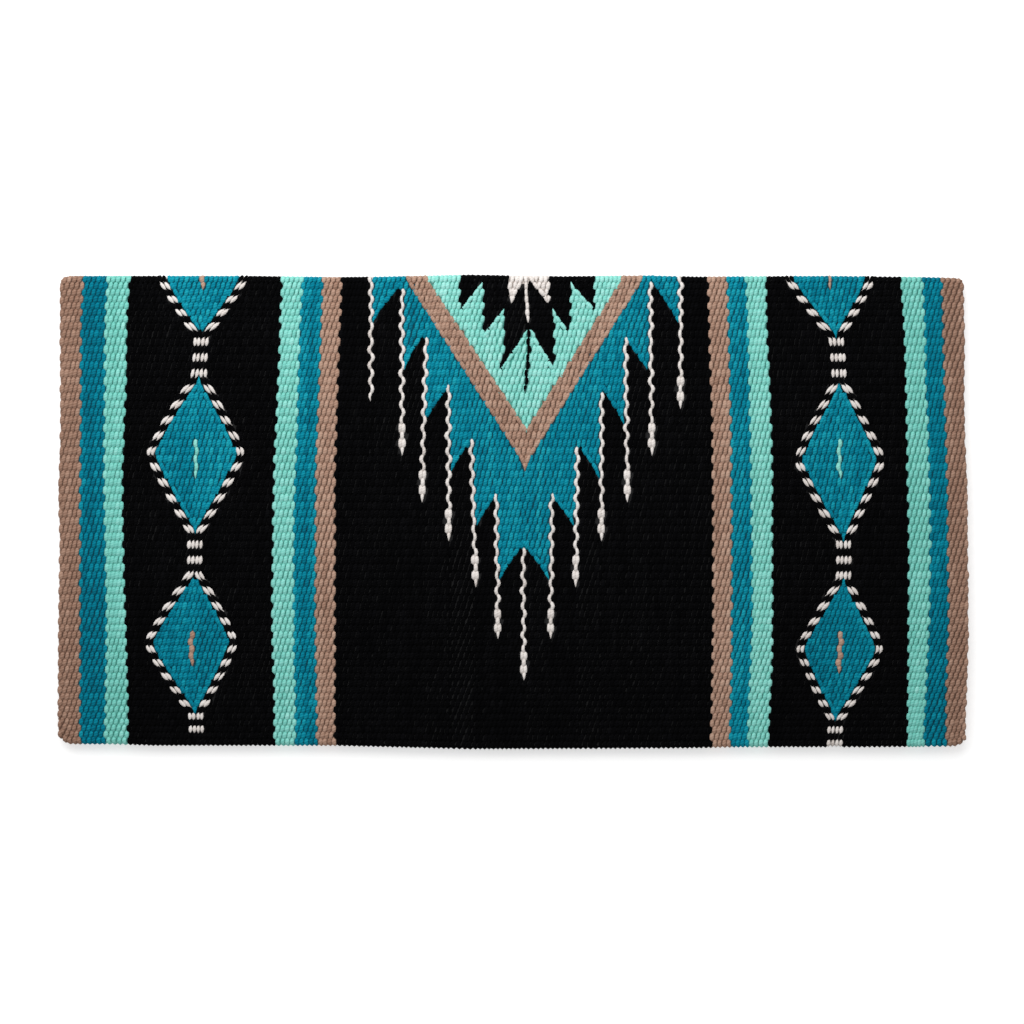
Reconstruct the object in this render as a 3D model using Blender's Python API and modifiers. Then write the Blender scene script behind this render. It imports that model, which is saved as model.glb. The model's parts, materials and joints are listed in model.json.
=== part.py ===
"""Saddle blanket: a weft-faced wool tapestry, folded once into two layers that open like a book.

Each colour area is a weft of its own, packed round hidden warps. A weft area is therefore a flat sleeve:
a front and a back skin that meet at the hem, at the fold and between some of the warps. The warps of each
layer are one long cord that winds to and fro through the sleeves.

Lengths are in metres, X runs along the warps and Z is up. The blanket lies on its lower layer, with the
fold at +Y and the two hems at -Y. A depth is a distance from the outside of the fold towards the hems.
"""

import math

import bmesh
import bpy
from mathutils import Vector

# Whole blanket
BLANKET_WIDTH = 0.864
FOLDED_DEPTH = 0.4495
LAYER_THICKNESS = 0.007
LAYER_GAP = 0.0003
PIECE_GAP = 0.0003
HEM_CORNER_RADIUS = 0.010
RIM_ROUNDING = 0.0024

# Warp cords and the tunnels that hold them
WARP_DIAMETER = 0.002
WARP_PITCH = 0.00707
WARP_CLEARANCE = 0.0003
TUNNEL_END_WALL = 0.003
BAY_WALL = 0.0014
WARPS_PER_BAY = 16

# Widths of the weft stripes and grounds, left to right; the centre ground takes what is left
LEFT_EDGE_TAN_WIDTH = 0.0215
LEFT_EDGE_TEAL_WIDTH = 0.0226
LEFT_EDGE_MINT_WIDTH = 0.0204
LEFT_BAND_WIDTH = 0.1413
LEFT_INNER_MINT_WIDTH = 0.0199
LEFT_INNER_TEAL_WIDTH = 0.0204
LEFT_INNER_TAN_WIDTH = 0.0178
RIGHT_INNER_TAN_WIDTH = 0.0188
RIGHT_INNER_TEAL_WIDTH = 0.0186
RIGHT_INNER_MINT_WIDTH = 0.0191
RIGHT_BAND_WIDTH = 0.1285
RIGHT_EDGE_MINT_WIDTH = 0.0194
RIGHT_EDGE_TEAL_WIDTH = 0.0175
RIGHT_EDGE_TAN_WIDTH = 0.0213

# Diamonds in the two bands
DIAMOND_WIDTH = 0.083
FOLD_DIAMOND_HALF_WIDTH = 0.0372
FOLD_DIAMOND_DEPTH = 0.0567
LEFT_DIAMOND_SHIFT = -0.0038
LEFT_MIDDLE_DIAMOND_DEPTH = 0.1702
LEFT_MIDDLE_DIAMOND_LENGTH = 0.1394
LEFT_HEM_DIAMOND_DEPTH = 0.3500
LEFT_HEM_DIAMOND_LENGTH = 0.1233
RIGHT_DIAMOND_SHIFT = 0.0014
RIGHT_MIDDLE_DIAMOND_DEPTH = 0.1764
RIGHT_MIDDLE_DIAMOND_LENGTH = 0.1460
RIGHT_HEM_DIAMOND_DEPTH = 0.3536
RIGHT_HEM_DIAMOND_LENGTH = 0.1248

# Teal chevron of the centre, whose lower edge is a row of teeth on each side
TEETH_PER_SIDE = 5
TOOTH_WIDTH = 0.0236
TOOTH_STEP = 0.0496
TOOTH_LENGTH = 0.0285
OUTER_TOOTH_WIDTH = 0.0270
FIRST_NOTCH_DEPTH = 0.0128

# Tan and mint chevrons inside it
TAN_HALF_WIDTH = 0.1148
TAN_TIP_DEPTH = 0.1820
MINT_HALF_WIDTH = 0.0934
MINT_TIP_DEPTH = 0.1451

# Black flame with three points on each side, and the white heart at its middle
FLAME_POINTS_PER_SIDE = 3
FLAME_HALF_WIDTH = 0.0602
FLAME_POINT_WIDTH = 0.0183
FLAME_FIRST_POINT_DEPTH = 0.0300
FLAME_POINT_STEP = 0.0277
FLAME_FIRST_NOTCH_DEPTH = 0.0097
FLAME_NOTCH_STEP = 0.0225
HEART_HALF_WIDTH = 0.0195
HEART_POINT_HALF_WIDTH = 0.0166
HEART_POINT_DEPTH = 0.0275
HEART_NOTCH_HALF_WIDTH = 0.0040
HEART_NOTCH_DEPTH = 0.0097
HEART_SPIKE_WIDTH = 0.0034
HEART_SPIKE_DEPTH = 0.0423

# Counts that set how smooth the round stretches are
CORNER_STEPS = 5
FOLD_STEPS = 12
TURN_STEPS = 2
ROUNDING_STEPS = 2

# Places worked out from the sizes above
FOLD_Y = FOLDED_DEPTH / 2
HEM_Y = -FOLDED_DEPTH / 2
CREASE_DEPTH = LAYER_THICKNESS
CREASE_Y = FOLD_Y - CREASE_DEPTH
CREASE_Z = LAYER_THICKNESS + LAYER_GAP / 2
UPPER_Z = LAYER_THICKNESS + LAYER_GAP
SIDE_X = BLANKET_WIDTH / 2

# Yarn colours as sRGB hex values
TAN = "B0907D"
TEAL = "0891A6"
MINT = "7DD7C3"
BLACK = "141416"
WHITE = "E1DAD6"
COTTON = "CFC4AE"
WOOL_ROUGHNESS = 0.95

COLUMNS = (
    ("left_edge_tan_stripe", LEFT_EDGE_TAN_WIDTH, TAN),
    ("left_edge_teal_stripe", LEFT_EDGE_TEAL_WIDTH, TEAL),
    ("left_edge_mint_stripe", LEFT_EDGE_MINT_WIDTH, MINT),
    ("left_band_ground", LEFT_BAND_WIDTH, BLACK),
    ("left_inner_mint_stripe", LEFT_INNER_MINT_WIDTH, MINT),
    ("left_inner_teal_stripe", LEFT_INNER_TEAL_WIDTH, TEAL),
    ("left_inner_tan_stripe", LEFT_INNER_TAN_WIDTH, TAN),
    ("centre_ground", None, BLACK),
    ("right_inner_tan_stripe", RIGHT_INNER_TAN_WIDTH, TAN),
    ("right_inner_teal_stripe", RIGHT_INNER_TEAL_WIDTH, TEAL),
    ("right_inner_mint_stripe", RIGHT_INNER_MINT_WIDTH, MINT),
    ("right_band_ground", RIGHT_BAND_WIDTH, BLACK),
    ("right_edge_mint_stripe", RIGHT_EDGE_MINT_WIDTH, MINT),
    ("right_edge_teal_stripe", RIGHT_EDGE_TEAL_WIDTH, TEAL),
    ("right_edge_tan_stripe", RIGHT_EDGE_TAN_WIDTH, TAN),
)


def clear_scene():
    """Removes every object that the scene starts with."""
    for obj in list(bpy.data.objects):
        bpy.data.objects.remove(obj, do_unlink=True)


def new_collection(name):
    """A new collection of this name in the scene."""
    collection = bpy.data.collections.new(name)
    bpy.context.scene.collection.children.link(collection)
    return collection


def linear(hex_colour):
    """The linear RGB values of an sRGB hex colour."""
    channels = []
    for start in (0, 2, 4):
        value = int(hex_colour[start:start + 2], 16) / 255
        channels.append(value / 12.92 if value <= 0.04045 else ((value + 0.055) / 1.055) ** 2.4)
    return channels


def yarn_material(name, hex_colour):
    """A matte yarn finish for one piece."""
    material = bpy.data.materials.new(name)
    material.use_nodes = True
    shader = material.node_tree.nodes["Principled BSDF"]
    shader.inputs["Base Color"].default_value = (*linear(hex_colour), 1)
    shader.inputs["Roughness"].default_value = WOOL_ROUGHNESS
    shader.inputs["Metallic"].default_value = 0
    return material


def column_spans():
    """The left and right side of each column of the layer, by name."""
    stated = sum(width for _, width, _ in COLUMNS if width)
    spans = {}
    left = -SIDE_X
    for name, width, _ in COLUMNS:
        right = left + (width or BLANKET_WIDTH - stated)
        spans[name] = (left, right)
        left = right
    return spans


def at_depth(points, centre_x=0):
    """Points given as offset from a centre line and depth, turned into plan coordinates."""
    return [(centre_x + offset, FOLD_Y - depth) for offset, depth in points]


def cut_at_crease(path):
    """A path from fold to fold, whose two ends are cut back to the depth of the crease."""
    ends = []
    for start, then in ((path[0], path[1]), (path[-1], path[-2])):
        share = (CREASE_DEPTH - start[1]) / (then[1] - start[1])
        ends.append((start[0] + share * (then[0] - start[0]), CREASE_DEPTH))
    return [ends[0], *path[1:-1], ends[1]]


def mirrored(left_half, middle):
    """A path whose right half mirrors its left half, with the middle points between them."""
    right_half = [(-offset, depth) for offset, depth in reversed(left_half)]
    return cut_at_crease([*left_half, *middle, *right_half])


def chevron(half_width, tip_depth):
    """A plain V from the fold down to its tip."""
    return mirrored([(-half_width, 0)], [(0, tip_depth)])


def toothed_chevron():
    """The teal V: upright steps and slanting teeth down to the middle notch, which is its lowest."""
    outer_x = TEETH_PER_SIDE * TOOTH_WIDTH + OUTER_TOOTH_WIDTH
    left_half = [(-outer_x, 0)]
    for step in range(TEETH_PER_SIDE + 1):
        notch_depth = FIRST_NOTCH_DEPTH + step * TOOTH_STEP
        left_half.append((-outer_x if step == 0 else left_half[-1][0], notch_depth + TOOTH_LENGTH))
        left_half.append((-(TEETH_PER_SIDE - step) * TOOTH_WIDTH, notch_depth))
    middle = [left_half.pop()]
    return mirrored(left_half, middle)


def flame():
    """The black figure: points that reach further down towards the middle, with notches between."""
    left_half = [(-FLAME_HALF_WIDTH, 0)]
    for step in range(FLAME_POINTS_PER_SIDE):
        point_x = -FLAME_HALF_WIDTH + step * FLAME_POINT_WIDTH
        left_half.append((point_x, FLAME_FIRST_POINT_DEPTH + step * FLAME_POINT_STEP))
        left_half.append((point_x + FLAME_POINT_WIDTH, FLAME_FIRST_NOTCH_DEPTH + step * FLAME_NOTCH_STEP))
    left_half.pop()
    middle_depth = FLAME_FIRST_NOTCH_DEPTH + (FLAME_POINTS_PER_SIDE - 1) * FLAME_NOTCH_STEP
    return mirrored(left_half, [(0, middle_depth)])


def heart():
    """The white figure: a short point on each side of a thin spike."""
    left_half = [
        (-HEART_HALF_WIDTH, 0),
        (-HEART_POINT_HALF_WIDTH, HEART_POINT_DEPTH),
        (-HEART_NOTCH_HALF_WIDTH, HEART_NOTCH_DEPTH),
        (-HEART_SPIKE_WIDTH / 2, HEART_SPIKE_DEPTH),
    ]
    return mirrored(left_half, [])


def diamond(centre_depth, length):
    """A diamond of the bands' width, at this depth."""
    return [
        (0, centre_depth - length / 2),
        (DIAMOND_WIDTH / 2, centre_depth),
        (0, centre_depth + length / 2),
        (-DIAMOND_WIDTH / 2, centre_depth),
    ]


def rounded_corner(centre, radius, start_angle):
    """A quarter circle, counter-clockwise from its start angle."""
    points = []
    for step in range(CORNER_STEPS + 1):
        angle = start_angle + math.pi / 2 * step / CORNER_STEPS
        points.append((centre[0] + radius * math.cos(angle), centre[1] + radius * math.sin(angle)))
    return points


def column_outline(left, right):
    """A column from crease to hem, with a rounded corner where it has the blanket's own side."""
    rim = PIECE_GAP / 2
    low = HEM_Y - rim
    radius = HEM_CORNER_RADIUS + rim
    left_corner = [(left, low)]
    right_corner = [(right, low)]
    if left == -SIDE_X:
        left = left - rim
        left_corner = rounded_corner((left + radius, low + radius), radius, math.pi)
    if math.isclose(right, SIDE_X):
        right = right + rim
        right_corner = rounded_corner((right - radius, low + radius), radius, -math.pi / 2)
    return [(left, CREASE_Y), *left_corner, *right_corner, (right, CREASE_Y)]


def signed_area(outline):
    """Positive for an outline that runs counter-clockwise."""
    following = outline[1:] + outline[:1]
    return sum(a[0] * b[1] - b[0] * a[1] for a, b in zip(outline, following)) / 2


def inset(outline, amount):
    """The outline with each of its sides moved inwards by the amount, or outwards where it is negative."""
    towards_inside = math.copysign(amount, signed_area(outline) * amount)
    count = len(outline)
    moved = []
    for index, point in enumerate(outline):
        here = Vector(point)
        side_in = (here - Vector(outline[index - 1])).normalized().orthogonal()
        side_out = (Vector(outline[(index + 1) % count]) - here).normalized().orthogonal()
        mitre = (side_in + side_out) / (1 + side_in.dot(side_out))
        moved.append(tuple(here + mitre * towards_inside))
    return moved


def mesh_of(curve_object, collection):
    """A mesh object in place of a curve object, with its caps welded to its sides."""
    name = curve_object.name
    bpy.context.view_layer.update()
    evaluated = curve_object.evaluated_get(bpy.context.evaluated_depsgraph_get())
    mesh = bpy.data.meshes.new_from_object(evaluated)
    shape = bmesh.new()
    shape.from_mesh(mesh)
    bmesh.ops.remove_doubles(shape, verts=shape.verts, dist=PIECE_GAP / 100)
    bmesh.ops.recalc_face_normals(shape, faces=shape.faces)
    shape.to_mesh(mesh)
    shape.free()
    place = curve_object.matrix_world.copy()
    bpy.data.objects.remove(curve_object, do_unlink=True)
    mesh_object = bpy.data.objects.new(name, mesh)
    mesh_object.name = name
    mesh_object.matrix_world = place
    collection.objects.link(mesh_object)
    return mesh_object


def extruded(name, outlines, thickness, collection):
    """A flat solid of this thickness about its own middle; outlines after the first are holes in it."""
    curve = bpy.data.curves.new(name, "CURVE")
    curve.dimensions = "2D"
    curve.fill_mode = "BOTH"
    curve.extrude = thickness / 2
    for outline in outlines:
        spline = curve.splines.new("POLY")
        spline.points.add(len(outline) - 1)
        for point, (x, y) in zip(spline.points, outline):
            point.co = (x, y, 0, 1)
        spline.use_cyclic_u = True
    curve_object = bpy.data.objects.new(name, curve)
    collection.objects.link(curve_object)
    return mesh_of(curve_object, collection)


def round_rim(obj, is_rim_edge):
    """Rounds the edges for which the test holds, given their two ends."""
    shape = bmesh.new()
    shape.from_mesh(obj.data)
    weight = shape.edges.layers.float.new("bevel_weight_edge")
    for edge in shape.edges:
        if is_rim_edge(*(vertex.co for vertex in edge.verts)):
            edge[weight] = 1
    shape.to_mesh(obj.data)
    shape.free()
    bevel = obj.modifiers.new("rim_rounding", "BEVEL")
    bevel.limit_method = "WEIGHT"
    bevel.width = RIM_ROUNDING
    bevel.segments = ROUNDING_STEPS


def on_rim(point):
    """Whether a point of a layer lies on the blanket's hem, on one of its sides or on a corner between."""
    across = SIDE_X - abs(point.x)
    along = point.y - HEM_Y
    if min(across, along) < PIECE_GAP:
        return True
    if max(across, along) > HEM_CORNER_RADIUS:
        return False
    from_centre = math.hypot(HEM_CORNER_RADIUS - across, HEM_CORNER_RADIUS - along)
    return from_centre > HEM_CORNER_RADIUS - PIECE_GAP


def layer_rim_edge(first, second):
    """A level edge that runs along the rim of a layer."""
    level = math.isclose(first.z, second.z, abs_tol=PIECE_GAP / 2)
    return level and on_rim(first) and on_rim(second)


def fold_rim_edge(first, second):
    """An edge round the outside of one end of the fold."""
    at_one_end = math.isclose(first.z, second.z, abs_tol=PIECE_GAP / 2)
    return at_one_end and max(first.x, second.x) > CREASE_Y + PIECE_GAP


def bay_walls():
    """The middle Y of each wall between two bays of warps, where front and back skin meet."""
    count = (warp_count() - 1) // WARPS_PER_BAY
    return [warp_y(WARPS_PER_BAY * (bay + 1)) - WARP_PITCH / 2 for bay in range(count)]


def warp_count():
    """How many warps fit between the end walls of a layer."""
    return int((CREASE_Y - HEM_Y - 2 * TUNNEL_END_WALL - WARP_DIAMETER) / WARP_PITCH)


def warp_y(index):
    """Where a warp lies, counted from the hem."""
    spare = CREASE_Y - HEM_Y - warp_count() * WARP_PITCH
    return HEM_Y + spare / 2 + (index + 1 / 2) * WARP_PITCH


def turn_x():
    """Centre line of the outermost point of a warp's turn."""
    return SIDE_X - TUNNEL_END_WALL - WARP_CLEARANCE - WARP_DIAMETER / 2


def tunnel_cutter(name, middle_z, cutters):
    """The flat room that the warps of a layer need, less the walls that part it into bays."""
    end_x = SIDE_X - TUNNEL_END_WALL
    low, high = HEM_Y + TUNNEL_END_WALL, CREASE_Y - TUNNEL_END_WALL
    room = [(-end_x, low), (end_x, low), (end_x, high), (-end_x, high)]
    wall_x = end_x - WARP_PITCH - 2 * WARP_CLEARANCE
    walls = []
    for middle in bay_walls():
        near, far = middle - BAY_WALL / 2, middle + BAY_WALL / 2
        walls.append([(-wall_x, near), (wall_x, near), (wall_x, far), (-wall_x, far)])
    cutter = extruded(name, [room, *walls], WARP_DIAMETER + 2 * WARP_CLEARANCE, cutters)
    cutter.location.z = middle_z
    cutter.hide_render = True
    cutter.display_type = "WIRE"
    return cutter


def warp_route():
    """The middle of the warp cord in plan, to and fro from hem to crease with round turns."""
    radius = WARP_PITCH / 2
    bend_x = turn_x() - radius
    route = [(-bend_x, warp_y(0))]
    for index in range(warp_count()):
        side = 1 if index % 2 == 0 else -1
        route.append((side * bend_x, warp_y(index)))
        if index == warp_count() - 1:
            break
        for step in range(1, TURN_STEPS + 1):
            angle = math.pi * step / TURN_STEPS - math.pi / 2
            middle_y = warp_y(index) + radius
            route.append((side * (bend_x + radius * math.cos(angle)), middle_y + radius * math.sin(angle)))
    return route


def least_gap(route):
    """The clear space between the cord and its own next run, measured on the points of its route."""
    apart = []
    for index, point in enumerate(route):
        for other in route[index + TURN_STEPS:]:
            apart.append(math.dist(point, other))
    return min(apart) - WARP_DIAMETER


def warp_cord(name, middle_z, collection):
    """One cord, wound to and fro through a layer."""
    route = warp_route()
    curve = bpy.data.curves.new(name, "CURVE")
    curve.dimensions = "3D"
    curve.bevel_depth = WARP_DIAMETER / 2
    curve.bevel_resolution = 0
    curve.use_fill_caps = True
    spline = curve.splines.new("POLY")
    spline.points.add(len(route) - 1)
    for point, (x, y) in zip(spline.points, route):
        point.co = (x, y, 0, 1)
    cord = bpy.data.objects.new(name, curve)
    cord.location.z = middle_z
    collection.objects.link(cord)
    cord.data.materials.append(yarn_material(name, COTTON))
    return cord


def ring(outer, inner):
    """An outline between two paths that both run from fold to fold."""
    return [*outer, *reversed(inner)]


def layer_outlines():
    """Name, yarn colour and outlines in plan of every weft area of a layer, before the gaps are cut."""
    spans = column_spans()
    shapes = []
    middle_x = sum(spans["centre_ground"]) / 2
    teal, tan, mint, black, white = (
        at_depth(path, middle_x)
        for path in (
            toothed_chevron(),
            chevron(TAN_HALF_WIDTH, TAN_TIP_DEPTH),
            chevron(MINT_HALF_WIDTH, MINT_TIP_DEPTH),
            flame(),
            heart(),
        )
    )
    bands = {
        "left_band_ground": (
            LEFT_DIAMOND_SHIFT,
            diamond(LEFT_MIDDLE_DIAMOND_DEPTH, LEFT_MIDDLE_DIAMOND_LENGTH),
            diamond(LEFT_HEM_DIAMOND_DEPTH, LEFT_HEM_DIAMOND_LENGTH),
        ),
        "right_band_ground": (
            RIGHT_DIAMOND_SHIFT,
            diamond(RIGHT_MIDDLE_DIAMOND_DEPTH, RIGHT_MIDDLE_DIAMOND_LENGTH),
            diamond(RIGHT_HEM_DIAMOND_DEPTH, RIGHT_HEM_DIAMOND_LENGTH),
        ),
    }
    for name, _, colour in COLUMNS:
        outline = column_outline(*spans[name])
        holes = []
        if name == "centre_ground":
            outline = ring(outline, teal)
        if name in bands:
            shift, middle_diamond, hem_diamond = bands[name]
            centre_x = sum(spans[name]) / 2 + shift
            side = name.split("_")[0]
            at_fold = at_depth(chevron(FOLD_DIAMOND_HALF_WIDTH, FOLD_DIAMOND_DEPTH), centre_x)
            holes = [at_depth(middle_diamond, centre_x), at_depth(hem_diamond, centre_x)]
            outline = ring(outline, at_fold)
            shapes.append((side + "_fold_diamond", TEAL, at_fold, []))
            shapes.append((side + "_middle_diamond", TEAL, holes[0], []))
            shapes.append((side + "_hem_diamond", TEAL, holes[1], []))
        shapes.append((name, colour, outline, holes))
    shapes.append(("teal_chevron", TEAL, ring(teal, tan), []))
    shapes.append(("tan_chevron", TAN, ring(tan, mint), []))
    shapes.append(("mint_chevron", MINT, ring(mint, black), []))
    shapes.append(("black_flame", BLACK, ring(black, white), []))
    shapes.append(("white_heart", WHITE, white, []))
    return shapes


def build_layer(half, low_z, pivot, blanket, cutters):
    """All weft areas and the warp cord of one layer, carried by the empty of its half."""
    middle_z = low_z + LAYER_THICKNESS / 2
    tunnel = tunnel_cutter(half + "_warp_room", middle_z, cutters)
    pieces = []
    for name, colour, outline, holes in layer_outlines():
        cut = [inset(outline, PIECE_GAP / 2), *(inset(hole, -PIECE_GAP / 2) for hole in holes)]
        piece = extruded(f"{half}_{name}", cut, LAYER_THICKNESS, blanket)
        piece.location.z = middle_z
        round_rim(piece, layer_rim_edge)
        room = piece.modifiers.new("warp_room", "BOOLEAN")
        room.operation = "DIFFERENCE"
        room.object = tunnel
        piece.data.materials.append(yarn_material(piece.name, colour))
        pieces.append(piece)
    pieces.append(warp_cord(half + "_warp_cord", middle_z, blanket))
    for piece in pieces:
        piece.parent = pivot
        piece.location = Vector((0, 0, middle_z)) - pivot.location


def build_fold(pivot, blanket):
    """The stretch of weft that turns over from the lower layer to the upper one."""
    outline = []
    for step in range(FOLD_STEPS + 1):
        angle = math.pi * step / FOLD_STEPS - math.pi / 2
        flat_y = CREASE_Y + PIECE_GAP / 2
        reach = LAYER_THICKNESS - PIECE_GAP / 2
        outline.append((flat_y + reach * math.cos(angle), LAYER_THICKNESS * math.sin(angle)))
    bend = extruded("fold_bend", [outline], BLANKET_WIDTH, blanket)
    round_rim(bend, fold_rim_edge)
    bend.rotation_euler = (math.pi / 2, 0, math.pi / 2)
    bend.parent = pivot
    bend.location = Vector((0, 0, CREASE_Z)) - pivot.location
    bend.data.materials.append(yarn_material(bend.name, BLACK))


def half_empty(name, place, blanket):
    """An empty that carries the pieces of one half."""
    empty = bpy.data.objects.new(name, None)
    empty.location = place
    blanket.objects.link(empty)
    return empty


def build_blanket():
    """Builds the whole blanket, with the upper half on the hinge line of the crease."""
    clear_scene()
    blanket = new_collection("saddle_blanket")
    cutters = new_collection("cutters")
    lower = half_empty("lower_half", (0, 0, 0), blanket)
    upper = half_empty("upper_half", (0, CREASE_Y, CREASE_Z), blanket)
    build_layer("lower", 0, lower, blanket, cutters)
    build_layer("upper", UPPER_Z, upper, blanket, cutters)
    build_fold(lower, blanket)
    print(f"{warp_count()} warps in each layer, least gap {least_gap(warp_route()):.4f} m")


build_blanket()
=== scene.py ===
"""Looks of a folded saddle blanket, woven pick by pick from thick wool yarn.

The cloth is a weft-faced tapestry. Its warps lie parallel to the fold and are hidden. Each pick of weft is
one yarn that goes over a warp and under the next, all the way from one hem round the fold to the other hem,
and neighbouring picks take turns, so each face shows every second crossing of a pick as a bead. The colour
areas are wefts of their own, and the outlines of the diamonds are picks that leave the straight line.

Sizes are in metres unless a name ends in MM. A place along the cloth is counted in warps: 0 is the first
warp of the upper half, and the count runs round the fold to the last warp of the lower half.
"""

from __future__ import annotations

import json
import logging
import math
from dataclasses import astuple, dataclass, field, fields, replace
from enum import Enum

import bpy
import numpy as np
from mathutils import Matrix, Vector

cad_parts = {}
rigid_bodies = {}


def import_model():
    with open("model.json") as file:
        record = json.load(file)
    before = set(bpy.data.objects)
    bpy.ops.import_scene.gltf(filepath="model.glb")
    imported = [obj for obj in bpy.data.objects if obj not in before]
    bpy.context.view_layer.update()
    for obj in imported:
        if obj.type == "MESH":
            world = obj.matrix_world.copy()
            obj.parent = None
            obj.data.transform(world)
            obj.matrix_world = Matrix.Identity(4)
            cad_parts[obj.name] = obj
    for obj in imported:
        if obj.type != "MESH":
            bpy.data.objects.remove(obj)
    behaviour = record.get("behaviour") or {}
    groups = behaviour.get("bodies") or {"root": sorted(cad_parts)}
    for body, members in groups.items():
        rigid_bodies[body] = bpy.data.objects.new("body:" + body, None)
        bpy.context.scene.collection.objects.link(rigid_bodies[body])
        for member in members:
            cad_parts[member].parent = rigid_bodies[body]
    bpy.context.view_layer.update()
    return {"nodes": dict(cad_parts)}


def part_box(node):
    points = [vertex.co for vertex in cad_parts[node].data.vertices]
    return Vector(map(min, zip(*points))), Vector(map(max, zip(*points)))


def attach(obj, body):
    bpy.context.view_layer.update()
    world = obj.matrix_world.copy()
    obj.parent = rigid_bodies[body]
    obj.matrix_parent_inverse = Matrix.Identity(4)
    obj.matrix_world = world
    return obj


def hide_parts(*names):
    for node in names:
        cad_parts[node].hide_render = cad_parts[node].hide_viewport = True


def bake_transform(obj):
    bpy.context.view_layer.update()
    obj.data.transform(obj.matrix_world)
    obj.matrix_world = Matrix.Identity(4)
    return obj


LOG = logging.getLogger("saddle_blanket")
MM = 0.001
YARN_GIRTH_MM = 11.0
YARN_MAP = "Yarn"
BAKE_MAP = "OFBake"
DYE_ATTRIBUTE = "tone"

# Depths below the fold where warps would lie if the beat were even, and where they lie.
BEAT_MM = (
    *((0, 0), (7, 7), (52, 47.5), (108, 107), (165, 167), (221, 226)),
    *((277, 284.5), (319, 328), (376, 381), (430, 430.5), (446, 446), (460, 460)),
)

# How hand weaving draws the outline in: the corners' radii, how far the draw reaches into the cloth, and
# places across with the rise of the hems and the drop of the fold there.
HEM_CORNER_RADIUS = 14.5 * MM
FOLD_CORNER_RADIUS = 12.0 * MM
HEM_REACH = 60 * MM
HEM_RISE_MM = (
    *((-432, 5), (-380, 5), (-340, 3.5), (-170, 3.5), (-40, 0)),
    *((90, 0.5), (170, 1), (215, 2), (345, 2), (432, 3)),
)
FOLD_DROP_MM = (
    *((-432, -0.5), (-250, -0.5), (-170, 1), (-125, 0.5), (-40, -2), (45, 0)),
    *((130, -1), (175, 0.5), (300, -0.5), (390, 1), (432, 2.5)),
)

# Width left at the last rings of a yarn that ends in a point.
POINT_SHARES = (0.92, 0.68, 0.36, 0.08)


class Wool(Enum):
    """The wools of the weft, named as the record names their material slots."""

    TAN = "tan_wool"
    TEAL = "teal_wool"
    MINT = "mint_wool"
    BLACK = "black_wool"
    WHITE = "white_wool"


class Half(Enum):
    """The stretches of cloth that move on their own, by the start of their pieces' names."""

    UPPER = "upper"
    FOLD = "fold"
    LOWER = "lower"


@dataclass(frozen=True)
class Diamond:
    """A teal diamond in a band.

    Attributes:
        area: name of the solid that it stands for, without its half.
        top_mm: depth of its upper tip.
        widest_mm: depth of its two side corners.
        bottom_mm: depth of its lower tip.
        half_width_mm: from its axis to a side corner.
        bulge: how far its sides bow outwards, where 1 is straight.
    """

    area: str
    top_mm: float
    widest_mm: float
    bottom_mm: float
    half_width_mm: float
    bulge: float = 1.12

    def half_width(self, depth: np.ndarray) -> np.ndarray:
        """Half the diamond's width.

        Args:
            depth: depths below the fold.

        Returns:
            Half the width at each depth, which is 0 or less outside the diamond.
        """
        d = depth / MM
        above = (self.widest_mm - d) / (self.widest_mm - self.top_mm)
        below = (d - self.widest_mm) / (self.bottom_mm - self.widest_mm)
        share = np.maximum(np.maximum(above, below), 0)
        return self.half_width_mm * MM * (1 - share**self.bulge)


@dataclass(frozen=True)
class Tick:
    """A short line of two picks on a diamond's axis, from one depth to another."""

    wool: Wool
    top_mm: float
    bottom_mm: float
    width_share: float


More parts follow.
